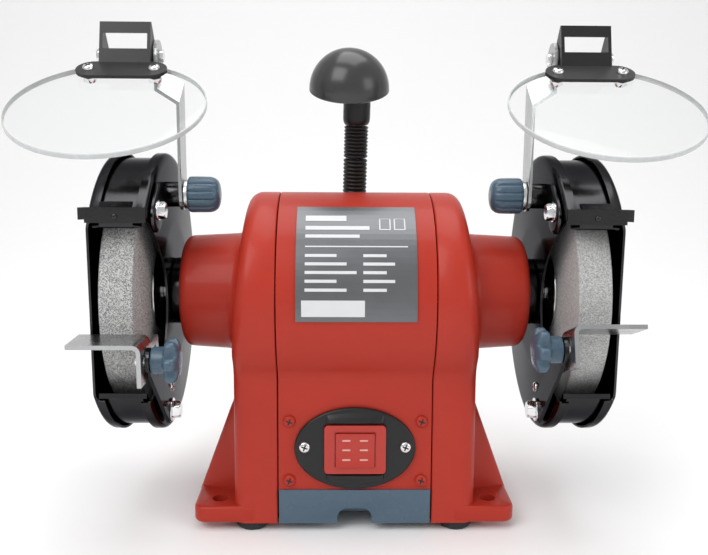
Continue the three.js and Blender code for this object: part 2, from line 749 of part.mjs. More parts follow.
function innerCover() {
  const low = guard_plateau_face - boss_height;
  const boss = moved(prismX(bossShape(0), low, guard_rim_face, 5), 0, boss_y, boss_z);
  const pocket = moved(prismX(bossShape(-2), low - 1, low + boss_height - 0.5, 4), 0, boss_y, boss_z);
  const clamp_y = shield_pivot_y;
  const clamp_z = shield_pivot_z - axis_height;
  const lug_face = arm_plane + arm_sheet / 2 + touch_gap;
  const lug = cylinderX(8, lug_face, guard_rim_face, clamp_y, clamp_z, 18);
  const lug_bore = cylinderX(shield_stud_radius + touch_gap, lug_face - 1, shield_stud_end + 0.5,
    clamp_y, clamp_z, 10);
  const body = join(innerCoverRing(), cut(boss, pocket), lug);
  return moved(cut(body, frontTrim(guard_plateau_face - 12, cap_reach), notchTrim(), lug_bore), 0, 0,
    axis_height);
}

const shield_stud_radius = 3.3;
const shield_stud_end = guard_plateau_face + 0.2;

function guardBand() {
  const inner = band_radius - guard_sheet;
  const start = Math.PI - Math.acos(guard_front_cut / band_radius);
  const shape = new THREE.Shape();
  shape.absarc(0, 0, band_radius, start, -start, true);
  shape.absarc(0, 0, inner, -start, start, false);
  const x0 = guard_rim_face + guard_sheet + band_inset;
  const x1 = guard_outer_face - guard_sheet - band_inset;
  const tab_low = Math.sqrt(band_radius ** 2 - guard_front_cut ** 2) - 1;
  const tab = box(guard_rim_face + guard_lip + slide_gap, guard_outer_face - guard_lip - slide_gap,
    -guard_front_cut, -guard_front_cut + guard_sheet, tab_low, arrester_bottom - axis_height);
  return moved(join(prismX(shape, x0, x1, guard_segments / 2), tab), 0, 0, axis_height);
}

function outerCover() {
  const lip_end = guard_outer_face - guard_lip;
  const outside = [[0, cap_reach], [cap_radius - 3, cap_reach], [cap_radius, cap_reach - 2],
    [cap_radius + 4, guard_outer_face + 1.5], [cap_radius + 7, guard_outer_face],
    ...lipArc(-1, guard_outer_face, 0), [guard_radius, lip_end]];
  const inside = [[guard_radius - guard_sheet, lip_end],
    ...lipArc(-1, guard_outer_face - guard_sheet, guard_sheet).reverse(),
    [cap_radius + 6, guard_outer_face - guard_sheet], [cap_radius + 2.6, guard_outer_face],
    [cap_radius - 1.4, cap_reach - 2.5], [cap_radius - 3.6, cap_reach - guard_sheet], [0,
      cap_reach - guard_sheet]];
  const dish = turned([...outside, ...inside], guard_segments);
  return moved(cut(dish, frontTrim(lip_end - 1, cap_reach + 1)), 0, 0, axis_height);
}

// Plate with two upright slots that lets it drop as the wheel wears.
function sparkArrester() {
  const front = -guard_front_cut - touch_gap - arrester_sheet;
  const x0 = guard_rim_face;
  const x1 = guard_outer_face;
  const back = front + arrester_sheet;
  const face = box(x0, x1, front, back, arrester_bottom, arrester_top);
  const flare = prismZ(polygon([[x1 - 0.5, front], [x1 + 3, front - 2], [x1 + 3,
    front - 2 + arrester_sheet],
    [x1 - 0.5, back]]), arrester_bottom + 2, arrester_top);
  const brim = prismX(polygon([[front, arrester_top - arrester_sheet], [back + 4, arrester_top + 1.5],
    [back + 4, arrester_top + 3], [front, arrester_top]]), x0 + guard_lip + 1, x1 - guard_lip - 1);
  return join(face, flare, brim);
}

// ---- tool rests -----------------------------------------------------------
const rest_face = rest_bracket_face + rest_bracket_sheet + touch_gap;

function restBracket(setting) {
  const bar = slotShape(rest_bolt_y, rest_bolt_z, 9, setting.knob_y, setting.knob_z, 7.5);
  const x1 = rest_bracket_face + rest_bracket_sheet;
  const bores = [[rest_bolt_y, rest_bolt_z], [setting.knob_y, setting.knob_z]].map(([y, z]) =>
    cylinderX(knob_stud_radius + touch_gap, rest_bracket_face - 1, x1 + 1, y, z, 12));
  return cut(prismX(bar, rest_bracket_face, x1, 6), ...bores);
}

// Drawn around the knob stud, then tilted about it.
function toolRest(setting) {
  const top = rest_rise;
  const shape = new THREE.Shape();
  const x0 = rest_face;
  const x1 = rest_face + rest_length;
  const inner = rest_bend - rest_sheet;
  shape.moveTo(x0, -rest_drop);
  shape.lineTo(x0 + rest_sheet, -rest_drop);
  shape.lineTo(x0 + rest_sheet, top - rest_bend);
  shape.absarc(x0 + rest_bend, top - rest_bend, inner, Math.PI, Math.PI / 2, true);
  shape.lineTo(x1, top - rest_sheet);
  shape.lineTo(x1, top);
  shape.lineTo(x0 + rest_bend, top);
  shape.absarc(x0 + rest_bend, top - rest_bend, rest_bend, Math.PI / 2, Math.PI, false);
  const angle = prismY(shape, -rest_front, rest_flange_back, 4);
  const table_trim = box(x0 + rest_sheet + 0.01, x1 + 1, rest_back, rest_flange_back + 1, -rest_drop - 1,
    top + 1);
  const crown_trim = box(x0 - 1, x1 + 1, rest_back, rest_flange_back + 1, top - rest_bend, top + 1);
  const half = knob_stud_radius + touch_gap;
  const slot = prismX(slotShape(-6 - setting.shift, 0, half, rest_slot_back + 4 - setting.shift, 0),
    x0 - 1, x0 + rest_sheet + 1, 4);
  const piece = cut(angle, table_trim, crown_trim, slot).translate(0, setting.shift, 0);
  return piece.rotateX(-rad(setting.tilt)).translate(0, setting.knob_y, setting.knob_z);
}

// Star head with a round hub and the clamp stud.
function restKnob(setting) {
  const face = rest_bracket_face - touch_gap - 0.1;
  const hub_end = face - 8;
  const head_end = hub_end - 8.6;
  const star = new THREE.Shape();
  const points = 36;
  for (let i = 0; i < points; i += 1) {
    const angle = (2 * Math.PI * i) / points;
    const lobe = 12.2 + 1.5 * Math.cos(6 * angle);
    const [y, z] = [lobe * Math.cos(angle), lobe * Math.sin(angle)];
    if (i === 0) star.moveTo(y, z);
    else star.lineTo(y, z);
  }
  const head = keep(prismX(star, head_end, hub_end), turned([[0, head_end], [9.5, head_end], [13.2,
    head_end + 2.2],
    [14, head_end + 4], [14, hub_end], [0, hub_end]], 24));
  const hub = cylinderX(8.2, hub_end - 0.5, face, 0, 0, 18);
  const stud = cylinderX(knob_stud_radius, face - 0.5, rest_face + rest_sheet + 4, 0, 0, 10);
  return moved(join(head, hub, stud), 0, setting.knob_y, setting.knob_z);
}

// ---- eye shields ----------------------------------------------------------
const arm_front = shield_pivot_y - arm_width / 2;
const fold_line = vec(0, Math.cos(rad(arm_fold_slope)), Math.sin(rad(arm_fold_slope)));
const fold_run = vec(0, 0, 1).projectOnVector(fold_line)
  .add(vec(0, -Math.sin(rad(arm_fold_slope)), Math.cos(rad(arm_fold_slope)))
    .multiplyScalar(Math.cos(rad(arm_fold_slope)) * Math.cos(rad(arm_fold_angle))))
  .add(vec(Math.cos(rad(arm_fold_slope)) * Math.sin(rad(arm_fold_angle)), 0, 0));
const fold_step = fold_run.clone().multiplyScalar(arm_step_out / fold_run.x);
const lens_pivot_y = shield_pivot_y + fold_step.y;
const arm_upper_plane = arm_plane + arm_step_out;

// Steel strip: a lower run, a slanting joggle outward and an upper run.
function shieldArm() {
  const side = vec(1, 0, 0);
  const slant = fold_line.clone().cross(fold_run).normalize();
  if (slant.x < 0) slant.negate();
  const mitre = side.clone().add(slant);
  mitre.multiplyScalar((arm_sheet / 2) / mitre.dot(side));
  const flat = side.clone().multiplyScalar(arm_sheet / 2);
  const across = fold_line.clone().multiplyScalar(arm_width / fold_line.y);
  const level = vec(0, arm_width, 0);
  const fold = vec(arm_plane, arm_front, arm_fold_height);
  const stations = [
    [vec(arm_plane, arm_front, shield_pivot_z), level, flat],
    [fold, across, mitre],
    [fold.clone().add(fold_step), across, mitre],
    [vec(arm_upper_plane, arm_front + fold_step.y, lens_pivot_z), level, flat],
  ];
  const rings = stations.map(([corner, width, half]) => [
    corner.clone().sub(half), corner.clone().add(half),
    corner.clone().add(width).add(half), corner.clone().add(width).sub(half)]);
  const round = (plane, y, z) => cylinderX(arm_width / 2, plane - arm_sheet / 2, plane + arm_sheet / 2,
    y, z, 16);
  const body = join(skin(rings), round(arm_plane, shield_pivot_y, shield_pivot_z),
    round(arm_upper_plane, lens_pivot_y, lens_pivot_z));
  return cut(body, cylinderX(shield_stud_radius + touch_gap, arm_plane - 5, arm_plane + 5,
    shield_pivot_y, shield_pivot_z, 8),
    cylinderX(pivot_hole_radius, arm_upper_plane - 5, arm_upper_plane + 5, lens_pivot_y, lens_pivot_z, 8));
}

const pivot_hole_radius = 3;

// Fluted barrel with a domed end, drawn along X.
function shieldKnob() {
  const face = arm_plane - arm_sheet / 2 - touch_gap;
  const end = face - shield_knob_length;
  const flutes = 10;
  const outline = new THREE.Shape();
  const points = 20;
  for (let i = 0; i < points; i += 1) {
    const angle = (2 * Math.PI * i) / points;
    const radius = shield_knob_radius - 0.55 * (1 - Math.abs(Math.cos((flutes / 2) * angle)));
    if (i === 0) outline.moveTo(radius, 0);
    else outline.lineTo(radius * Math.cos(angle), radius * Math.sin(angle));
  }
  const dome = [0, 1, 2].map((i) => {
    const angle = (Math.PI / 4) * i;
    return [(shield_knob_radius + 0.2) * (0.45 + 0.55 * Math.sin(angle)), end + 5 * (1 - Math.sin(angle))];
  });
  const envelope = turned([[0, end], ...dome.sort((a, b) => a[0] - b[0]), [shield_knob_radius + 0.2,
    face - 2.6],
    [shield_knob_radius - 1, face - 1.6], [0, face - 1.6]], 24);
  const barrel = keep(prismX(outline, end - 0.5, face - 1.5), envelope);
  const washer = cylinderX(9.5, face - 1.8, face, 0, 0, 16);
  const stud = cylinderX(shield_stud_radius, face - 2, shield_stud_end, 0, 0, 10);
  return moved(join(barrel, washer, stud), 0, shield_pivot_y, shield_pivot_z);
}

function onLens(geometry) {
  return geometry.clone().rotateX(rad(lens_tilt)).translate(lens_x, lens_y, lens_z);
}

function eyeShield() {
  const half = lens_thickness / 2;
  const disc = turnedUpright([[0, -half], [lens_radius - 0.6, -half], [lens_radius, -half + 0.6],
    [lens_radius, half - 0.6], [lens_radius - 0.6, half], [0, half]], 32);
  return onLens(disc);
}

// Folded sheet: oval clamp plate, windowed web and two cheeks for the pivot.
function lensBracket() {
  const low = lens_thickness / 2 + touch_gap;
  const end = clamp_plate_length / 2 - clamp_plate_depth / 2;
  const oval = new THREE.Shape();
  oval.absellipse(-end, clamp_plate_offset, clamp_plate_depth / 2, clamp_plate_depth / 2, Math.PI / 2,
    1.5 * Math.PI);
  oval.absellipse(end, clamp_plate_offset, clamp_plate_depth / 2, clamp_plate_depth / 2, -Math.PI / 2,
    Math.PI / 2);
  const plate = onLens(prismZ(oval, low, low + clamp_plate_sheet, 6));
  const hem = new THREE.Vector3(0, clamp_plate_offset + clamp_plate_depth / 2, low + clamp_plate_sheet / 2)
    .applyAxisAngle(vec(1, 0, 0), rad(lens_tilt)).add(vec(lens_x, lens_y, lens_z));
  const x0 = lens_x - bracket_half_width;
  const x1 = lens_x + bracket_half_width;
  const lean = 5;
  const web_at = (z) => hem.y + (lean * (z - hem.z)) / (bracket_top - hem.z);
  const base = hem.z + 0.1;
  const web = prismX(polygon([[web_at(base) - 1.5, base], [web_at(bracket_top), bracket_top],
    [web_at(bracket_top) + bracket_sheet, bracket_top], [web_at(base) + bracket_sheet, base]]), x0, x1);
  const window = box(x0 + 2, x1 - 2, hem.y - 5, hem.y + 12, lens_pivot_z + bracket_window[0],
    lens_pivot_z + bracket_window[1]);
  const reach = lens_pivot_y + 9;
  const cheek = polygon([[web_at(base) - 0.5, base], [reach, base], [reach, base + 2],
    [web_at(bracket_top) + 2, bracket_top], [web_at(bracket_top), bracket_top]]);
  const cheeks = [[x0, x0 + bracket_sheet], [x1 - bracket_sheet, x1]].map(([a, b]) => prismX(cheek, a, b));
  const pivot = cylinderX(pivot_hole_radius, x0 - 2, x1 + 2, lens_pivot_y, lens_pivot_z, 8);
  const bolts = [-1, 1].map((side) => onLens(moved(turnedUpright([[0, -5], [2.2, -5], [2.2, 8], [0, 8]], 6),
    (side * clamp_bolt_spacing) / 2, clamp_plate_offset, 0)));
  return cut(join(plate, web, ...cheeks), window, pivot, ...bolts);
}

// ---- work lamp ------------------------------------------------------------
const lamp_stub_radius = 5;
const lamp_rise = new THREE.Vector3(lamp_lean_x, lamp_lean_y, 1).normalize();
const lamp_joints = [vec(lamp_x, lamp_y, lamp_socket_top)];
[lamp_lower_length, lamp_upper_length].forEach((length) => {
  lamp_joints.push(lamp_joints.at(-1).clone().addScaledVector(lamp_rise, length));
});

// Round-ended rod from one point toward another.
function rod(start, direction, length, radius) {
  const steps = 3;
  const profile = [];
  for (let i = 0; i <= steps; i += 1) {
    const angle = ((Math.PI / 2) * i) / steps;
    profile.push([radius * Math.sin(angle), radius - radius * Math.cos(angle)]);
  }
  const far = profile.slice().reverse().map(([r, z]) => [r, length - z]);
  const geometry = turnedUpright([...profile, ...far], 12);
  const turn = new THREE.Quaternion().setFromUnitVectors(vec(0, 0, 1), direction);
  return geometry.applyQuaternion(turn).translate(start.x, start.y, start.z);
}

function lampSocket() {
  const collar_radius = lamp_tube_radius + 3.5;
  const low = axis_height + housing_radius - 40;
  const shoulder = lamp_socket_top - 9;
  const collar = turnedUpright([[0, low], [collar_radius, low], [collar_radius, shoulder - 2],
    [collar_radius - 2, shoulder], [0, shoulder]], 24);
  const seat = cylinderX(housing_radius + touch_gap, -30, 30, 0, axis_height, 64);
  const stub = turnedUpright([[0, low], [lamp_stub_radius, low], [lamp_stub_radius, shoulder - 1],
    [0, shoulder - 1]], 12);
  const dome = rod(lamp_joints[0].clone().addScaledVector(lamp_rise, -lamp_joint_gap / 2 - 24),
    lamp_rise, 24,
    lamp_tube_radius);
  const upper = keep(dome, box(-30, 30, 0, 90, shoulder - 3, lamp_socket_top + 5));
  const wall_inside = cylinderX(housing_radius - housing_wall, -30, 30, 0, axis_height, 64);
  return join(cut(join(moved(collar, lamp_x, lamp_y, 0), upper), seat),
    cut(moved(stub, lamp_x, lamp_y, 0), wall_inside));
}

function lampTube(index, length) {
  const start = lamp_joints[index].clone().addScaledVector(lamp_rise, lamp_joint_gap / 2);
  return rod(start, lamp_rise, length - lamp_joint_gap, lamp_tube_radius);
}

function onShade(geometry) {
  return geometry.clone().rotateX(rad(shade_tilt)).translate(shade_x, shade_y, shade_z);
}

// Half ball open at its rim.
function shadeBowl() {
  const steps = 4;
  const arc = (radius) => Array.from({ length: steps + 1 }, (_, i) => {
    const angle = ((Math.PI / 2) * i) / steps;
    return [radius * Math.cos(angle), radius * Math.sin(angle)];
  });
  const inside = arc(shade_radius - shade_wall).reverse();
  return onShade(turnedUpright([...inside, ...arc(shade_radius)], 20));
}

function lampShade() {
  const start = lamp_joints[2].clone().addScaledVector(lamp_rise, lamp_joint_gap / 2);
  const sleeve = rod(start, lamp_rise, lamp_sleeve_length, lamp_sleeve_radius);
  const bend = start.clone().addScaledVector(lamp_rise, lamp_sleeve_length - lamp_sleeve_radius);
  const forward = lamp_rise.clone().applyAxisAngle(vec(1, 0, 0), rad(lamp_elbow_angle));
  const elbow = rod(bend.addScaledVector(forward, -lamp_sleeve_radius), forward, lamp_elbow_length,
    lamp_sleeve_radius);
  const hollow = onShade(turnedUpright([[0, -30], [shade_radius - shade_wall, -30],
    [shade_radius - shade_wall, 0],
    ...[1, 2, 3, 4].map((i) => [(shade_radius - shade_wall) * Math.cos((Math.PI / 8) * i),
      (shade_radius - shade_wall) * Math.sin((Math.PI / 8) * i)])], 20));
  return join(shadeBowl(), cut(join(sleeve, elbow), hollow));
}

function lampLens() {
  const radius = shade_radius - shade_wall - slide_gap;
  const depth = 8;
  const rim = Math.sqrt(radius ** 2 - (depth + 2) ** 2) - 0.5;
  return onShade(turnedUpright([[0, depth], [rim, depth], [rim, depth + 2], [0, depth + 2]], 24));
}

// ---- colours --------------------------------------------------------------
const finishes = {
  red_casing: { color: 0xb03a2c, roughness: 0.45, metalness: 0 },
  black_guard: { color: 0x17181a, roughness: 0.2, metalness: 0.1 },
  steel: { color: 0xb9bcbe, roughness: 0.35, metalness: 1 },
  blue_plastic: { color: 0x4b6170, roughness: 0.4, metalness: 0 },
  rubber: { color: 0x1b1c1d, roughness: 0.8, metalness: 0 },
  black_plastic: { color: 0x1d1e20, roughness: 0.45, metalness: 0 },
  lamp_plastic: { color: 0x3f4042, roughness: 0.35, metalness: 0 },
  switch_red: { color: 0xc03a2e, roughness: 0.35, metalness: 0 },
  label: { color: 0x8b8f93, roughness: 0.4, metalness: 0.6 },
  stone_dark: { color: 0x8b8b8b, roughness: 0.95, metalness: 0 },
  stone_light: { color: 0xa9a9a7, roughness: 0.95, metalness: 0 },
  clear_lens: { color: 0xf4f6f6, roughness: 0.05, metalness: 0, transparent: true, opacity: 0.35 },
  lamp_lens: { color: 0xf0efe6, roughness: 0.5, metalness: 0 },
  copper: { color: 0xa8623a, roughness: 0.4, metalness: 0.8 },
  lamination: { color: 0x74777a, roughness: 0.55, metalness: 0.8 },
};

// ---- assembly -------------------------------------------------------------
const grinder = new THREE.Group();

function add(name, geometry, finish) {
  const mesh = new THREE.Mesh(tidy(geometry), new THREE.MeshStandardMaterial(finishes[finish]));
  mesh.name = name;
  grinder.add(mesh);
}

function addPair(name, geometry, finish, left_finish = finish) {
  add(`${name}_right`, geometry, finish);
  add(`${name}_left`, mirrored(geometry), left_finish);
}

add("motor_shell", motorShell(), "red_casing");
addPair("end_bell", endBell(), "red_casing");
add("base_plate", basePlate(), "steel");
addPair("rubber_foot_front", rubberFoot(-1), "rubber");
addPair("rubber_foot_back", rubberFoot(1), "rubber");
add("water_tray", waterTray(), "blue_plastic");
add("rating_plate", ratingPlate(), "label");
add("switch_bezel", switchBezel(), "black_plastic");
add("switch_frame", switchFrame(), "switch_red");
add("switch_rocker", switchRocker(), "switch_red");
add("switch_body", switchBody(), "black_plastic");
add("capacitor", capacitor(), "black_plastic");
add("cable_gland", cableGland(), "black_plastic");
add("stator", stator(), "copper");
addPair("bearing", bearing(), "steel");
add("shaft", shaft(), "steel");
add("rotor_core", rotorCore(), "lamination");
addPair("grinding_wheel", grindingWheel(), "stone_light", "stone_dark");
addPair("inner_flange", wheelFlange(wheel_inner_face - touch_gap, -1), "steel");
addPair("outer_flange", wheelFlange(wheel_outer_face + touch_gap, 1), "steel");
addPair("spindle_nut", spindleNut(), "steel");
addPair("guard_inner_cover", innerCover(), "black_guard");
addPair("guard_band", guardBand(), "black_guard");
addPair("guard_outer_cover", outerCover(), "black_guard");
addPair("spark_arrester", sparkArrester(), "black_guard");
Object.entries(rests).forEach(([side, setting]) => {
  const place = side === "left" ? mirrored : (geometry) => geometry;
  add(`rest_bracket_${side}`, place(restBracket(setting)), "black_guard");
  add(`tool_rest_${side}`, place(toolRest(setting)), "steel");
  add(`rest_knob_${side}`, place(restKnob(setting)), "blue_plastic");
});
addPair("shield_arm", shieldArm(), "steel");
addPair("shield_knob", shieldKnob(), "blue_plastic");
addPair("lens_bracket", lensBracket(), "black_guard");
addPair("eye_shield", eyeShield(), "clear_lens");
add("lamp_socket", lampSocket(), "black_plastic");
add("lamp_neck_lower", lampTube(0, lamp_lower_length), "black_plastic");
add("lamp_neck_upper", lampTube(1, lamp_upper_length), "black_plastic");
add("lamp_shade", lampShade(), "lamp_plastic");
add("lamp_lens", lampLens(), "lamp_lens");

// The origin is the middle of the footprint, at bench level.
const extent = new THREE.Box3().setFromObject(grinder);
grinder.position.set(-(extent.min.x + extent.max.x) / 2, -(extent.min.y + extent.max.y) / 2, -extent.min.z);

export default grinder;
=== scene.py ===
"""Visual model of a bench grinder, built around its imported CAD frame.

Lengths in the functions are millimetres measured from the shaft's middle
plane: x to the right along the shaft, y to the back, z up from the bench.
`place` turns them into the frame's metres.
"""
import json
import math

import bmesh
import bpy
import numpy as np
from mathutils import Matrix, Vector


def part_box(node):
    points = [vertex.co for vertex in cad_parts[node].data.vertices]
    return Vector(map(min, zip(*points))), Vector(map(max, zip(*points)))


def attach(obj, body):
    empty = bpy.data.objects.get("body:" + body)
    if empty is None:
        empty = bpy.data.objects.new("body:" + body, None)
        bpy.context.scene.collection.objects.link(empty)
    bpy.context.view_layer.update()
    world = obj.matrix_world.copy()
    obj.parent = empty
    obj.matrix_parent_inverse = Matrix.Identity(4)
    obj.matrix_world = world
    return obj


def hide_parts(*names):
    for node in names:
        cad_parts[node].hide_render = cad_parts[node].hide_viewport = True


bl_info = {
    "name": "Bench Grinder",
    "version": (1, 0, 0),
    "blender": (4, 5, 0),
    "location": "View3D > Sidebar > Grinder",
    "description": "Builds the visual model of a bench grinder around its CAD frame",
    "category": "Object",
}

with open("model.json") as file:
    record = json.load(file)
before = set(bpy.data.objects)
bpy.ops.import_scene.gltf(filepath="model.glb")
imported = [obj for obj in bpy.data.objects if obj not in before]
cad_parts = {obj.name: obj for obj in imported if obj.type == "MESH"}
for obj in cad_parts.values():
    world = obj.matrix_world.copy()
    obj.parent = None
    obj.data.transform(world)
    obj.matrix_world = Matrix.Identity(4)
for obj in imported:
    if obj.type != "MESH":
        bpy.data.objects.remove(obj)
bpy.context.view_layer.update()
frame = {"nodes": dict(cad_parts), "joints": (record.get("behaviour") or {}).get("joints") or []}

MM = 0.001
SIDES = {"left": -1, "right": 1}


def corners(node):
    """Low and high corner of a CAD node's box in millimetres of the frame."""
    return [np.array(corner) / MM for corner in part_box(node)]


def middle(node):
    """Centre of a CAD node's box in millimetres of the frame."""
    low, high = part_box(node)
    return (np.array(low) + np.array(high)) / 2 / MM


# Places read from the frame
AXIS_Y, AXIS_Z = middle("shaft")[1:]
SHELL_LOW, SHELL_HIGH = corners("motor_shell")
COVER_LOW, COVER_HIGH = corners("guard_outer_cover_right")
WHEEL_LOW, WHEEL_HIGH = corners("grinding_wheel_right")
SHELL_HALF = SHELL_HIGH[0]
ARCH_RADIUS = SHELL_HIGH[2] - AXIS_Z
FOOT_Z = SHELL_LOW[2]
BELL_START = corners("end_bell_right")[0][0]
GUARD_RADIUS = COVER_HIGH[2] - AXIS_Z
GUARD_FRONT = AXIS_Y - COVER_LOW[1]
CAP_REACH = COVER_HIGH[0]
WHEEL_RADIUS = WHEEL_HIGH[2] - AXIS_Z

# Sizes that repeat the CAD's
FLANGE_REACH = 102.5
COVER_FACE = 119.5
RIM_FACE = 121.8
OUTER_FACE = 156.8
GUARD_SHEET = 1.4
WAIST = (49.0, 95.0)
FOOT_HALF_DEPTH = 54.0

# How far a screw's foot is sunk into its seat
SCREW_SINK = 0.4


# ---- settings ---------------------------------------------------------------
def colour(name, text, value):
    return bpy.props.FloatVectorProperty(
        name=name, description=text, subtype="COLOR", size=3, min=0, max=1, default=value)


class GrinderColours(bpy.types.PropertyGroup):
    enamel: colour("Enamel", "Painted motor casing", (0.385, 0.026, 0.013))
    guard: colour("Guards", "Gloss enamel on the guards", (0.050, 0.050, 0.052))
    plastic: colour("Plastic", "Tray and clamp knobs", (0.050, 0.090, 0.130))
    black_plastic: colour("Black plastic", "Switch plate and lamp neck", (0.010, 0.010, 0.0105))
    lamp: colour("Lamp", "Lamp shade", (0.030, 0.030, 0.031))
    switch: colour("Switch", "Rocker and its frame", (0.40, 0.022, 0.012))
    coarse_stone: colour("Coarse stone", "Left grinding wheel", (0.36, 0.36, 0.355))
    fine_stone: colour("Fine stone", "Right grinding wheel", (0.40, 0.40, 0.395))
    backdrop: colour("Backdrop", "Floor and surroundings", (0.93, 0.93, 0.93))


class GrinderSizes(bpy.types.PropertyGroup):
    enamel_grain: bpy.props.FloatProperty(
        name="Enamel grain", description="Bumps per metre in the enamel", default=900, min=100, max=3000)
    coarse_grit: bpy.props.FloatProperty(
        name="Coarse grit", description="Grains per metre on the left wheel", default=2300, min=100, max=5000)
    fine_grit: bpy.props.FloatProperty(
        name="Fine grit", description="Grains per metre on the right wheel", default=2900, min=100, max=5000)
    neck_pitch: bpy.props.FloatProperty(
        name="Neck pitch", description="Distance between the lamp neck's rings in mm", default=2.6,
        min=1, max=6)
    corner: bpy.props.FloatProperty(
        name="Sheet corner", description="Rounding of cut sheet edges in mm", default=0.35, min=0.05, max=1)
    key_light: bpy.props.FloatProperty(
        name="Key light", description="Power of the main softbox", unit="POWER", default=8.0, min=0, max=200)


def colours():
    return bpy.context.scene.grinder_colours


def sizes():
    return bpy.context.scene.grinder_sizes


# ---- surfaces ---------------------------------------------------------------
def joint_places():
    """Hinge positions by name, in the millimetres that this script draws in."""
    return {j["name"]: np.array(j["pos_m"]) / MM - [0, AXIS_Y, 0] for j in frame["joints"] if "pos_m" in j}


def place(points):
    """Millimetres from the shaft's middle plane to metres in the frame."""
    return (np.asarray(points, float) + [0.0, AXIS_Y, 0.0]) * MM


def quads(rows, columns, wrap_rows, wrap_columns):
    """Corner indices of every quad of a rows by columns grid."""
    i = np.arange(rows if wrap_rows else rows - 1)
    j = np.arange(columns if wrap_columns else columns - 1)
    i, j = (a.ravel() for a in np.meshgrid(i, j, indexing="ij"))
    k, m = (i + 1) % rows, (j + 1) % columns
    return np.stack([i * columns + j, i * columns + m, k * columns + m, k * columns + j], 1)


class Piece:
    """Collects grid surfaces and makes one object of them."""

    def __init__(self, name):
        self.name = name
        self.points = []
        self.faces = []
        self.slots = []
        self.count = 0

    def grid(self, points, wrap_rows=False, wrap_columns=False, slot=0):
        """Adds a grid P(i, j) of points, closed along either direction when asked."""
        points = np.asarray(points, float)
        rows, columns = points.shape[:2]
        faces = quads(rows, columns, wrap_rows, wrap_columns)
        self.faces.append(faces + self.count)
        self.slots.append(np.full(len(faces), slot))
        self.points.append(points.reshape(-1, 3))
        self.count += rows * columns
        return self

    def build(self, body, finishes, slot, replaces=(), sharp=38, thickness=0.0):
        mesh = bpy.data.meshes.new(self.name)
        mesh.from_pydata(place(np.concatenate(self.points)), [], np.concatenate(self.faces).tolist())
        mesh.polygons.foreach_set("material_index", np.concatenate(self.slots).astype(np.int32))
        work = bmesh.new()
        work.from_mesh(mesh)
        bmesh.ops.remove_doubles(work, verts=work.verts, dist=2e-6)
        bmesh.ops.dissolve_degenerate(work, edges=work.edges, dist=1e-6)
        bmesh.ops.recalc_face_normals(work, faces=work.faces)
        work.to_mesh(mesh)
        work.free()
        mesh.polygons.foreach_set("use_smooth", np.ones(len(mesh.polygons), bool))
        mesh.set_sharp_from_angle(angle=math.radians(sharp))
        for finish in finishes:
            mesh.materials.append(finish)
        obj = bpy.data.objects.new(self.name, mesh)
        bpy.context.scene.collection.objects.link(obj)
        if thickness:
            sheet = obj.modifiers.new("sheet", "SOLIDIFY")
            sheet.thickness = thickness * MM
            sheet.offset = 0
            soft_edges(obj, min(sizes().corner, thickness * 0.3))
        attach(obj, body)
        if replaces:
            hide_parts(*replaces)
        return obj


def soft_edges(obj, width, angle=40):
    """Small rounding on every edge sharper than `angle`."""
    bevel = obj.modifiers.new("edges", "BEVEL")
    bevel.width = width * MM
    bevel.segments = 2
    bevel.limit_method = "ANGLE"
    bevel.angle_limit = math.radians(angle)
    bevel.harden_normals = True


def soften(points, radius, steps=4):
    """Polyline with its corners rounded by parabolas (1-t)^2 a + 2t(1-t) p + t^2 b."""
    points = np.asarray(points, float)
    out = [points[0]]
    for before, corner, after in zip(points, points[1:], points[2:]):
        to_before, to_after = before - corner, after - corner
        reach = min(radius, np.linalg.norm(to_before) * 0.49, np.linalg.norm(to_after) * 0.49)
        start = corner + to_before / np.linalg.norm(to_before) * reach
        end = corner + to_after / np.linalg.norm(to_after) * reach
        t = np.linspace(0, 1, steps + 1)[:, None]
        out.extend((1 - t) ** 2 * start + 2 * t * (1 - t) * corner + t ** 2 * end)
    out.append(points[-1])
    return np.array(out)


def turned(profile, centre, direction=(1, 0, 0), count=64, radius_of=None):
    """Surface of revolution P(i, a) = centre + d * along_i + radius_i * (u cos a + v sin a)."""
    profile = np.asarray(profile, float)
    d = np.asarray(direction, float) / np.linalg.norm(direction)
    u = np.cross(d, [0.0, 0.0, 1.0] if abs(d[2]) < 0.9 else [0.0, 1.0, 0.0])
    u /= np.linalg.norm(u)
    v = np.cross(d, u)
    angle = np.linspace(0, 2 * math.pi, count, endpoint=False)
    radius = profile[:, :1] * np.ones_like(angle)
    if radius_of is not None:
        radius = radius_of(radius, angle)
    ring = np.cos(angle)[:, None] * u + np.sin(angle)[:, None] * v
    return np.asarray(centre) + profile[:, 1][:, None, None] * d + radius[..., None] * ring


def slab(outline, basis, origin, low, high, rounding, steps=3):
    """Plate with rounded rims: outline offset inward by r(1-cos a) as its level rises by r sin a."""
    outline = np.asarray(outline, float)
    tangent = np.roll(outline, -1, 0) - np.roll(outline, 1, 0)
    inward = np.stack([-tangent[:, 1], tangent[:, 0]], 1)
    inward /= np.linalg.norm(inward, axis=1)[:, None]
    turn = np.linspace(0, math.pi / 2, steps + 1)
    inset = rounding * (1 - np.cos(turn))
    rise = rounding * np.sin(turn)
    levels = [(i, high - rounding + r) for i, r in zip(inset, rise)]
    lower = [(i, low + rounding - r) for i, r in zip(inset, rise)][::-1]
    rings = [outline.mean(0) + 0 * outline] + [outline + inward * i for i, _ in lower + levels]
    rings.append(rings[0])
    heights = [low] + [h for _, h in lower + levels] + [high]
    e1, e2, e3 = (np.asarray(b, float) for b in basis)
    return np.array([np.asarray(origin) + ring[:, :1] * e1 + ring[:, 1:] * e2 + h * e3
                     for ring, h in zip(rings, heights)])


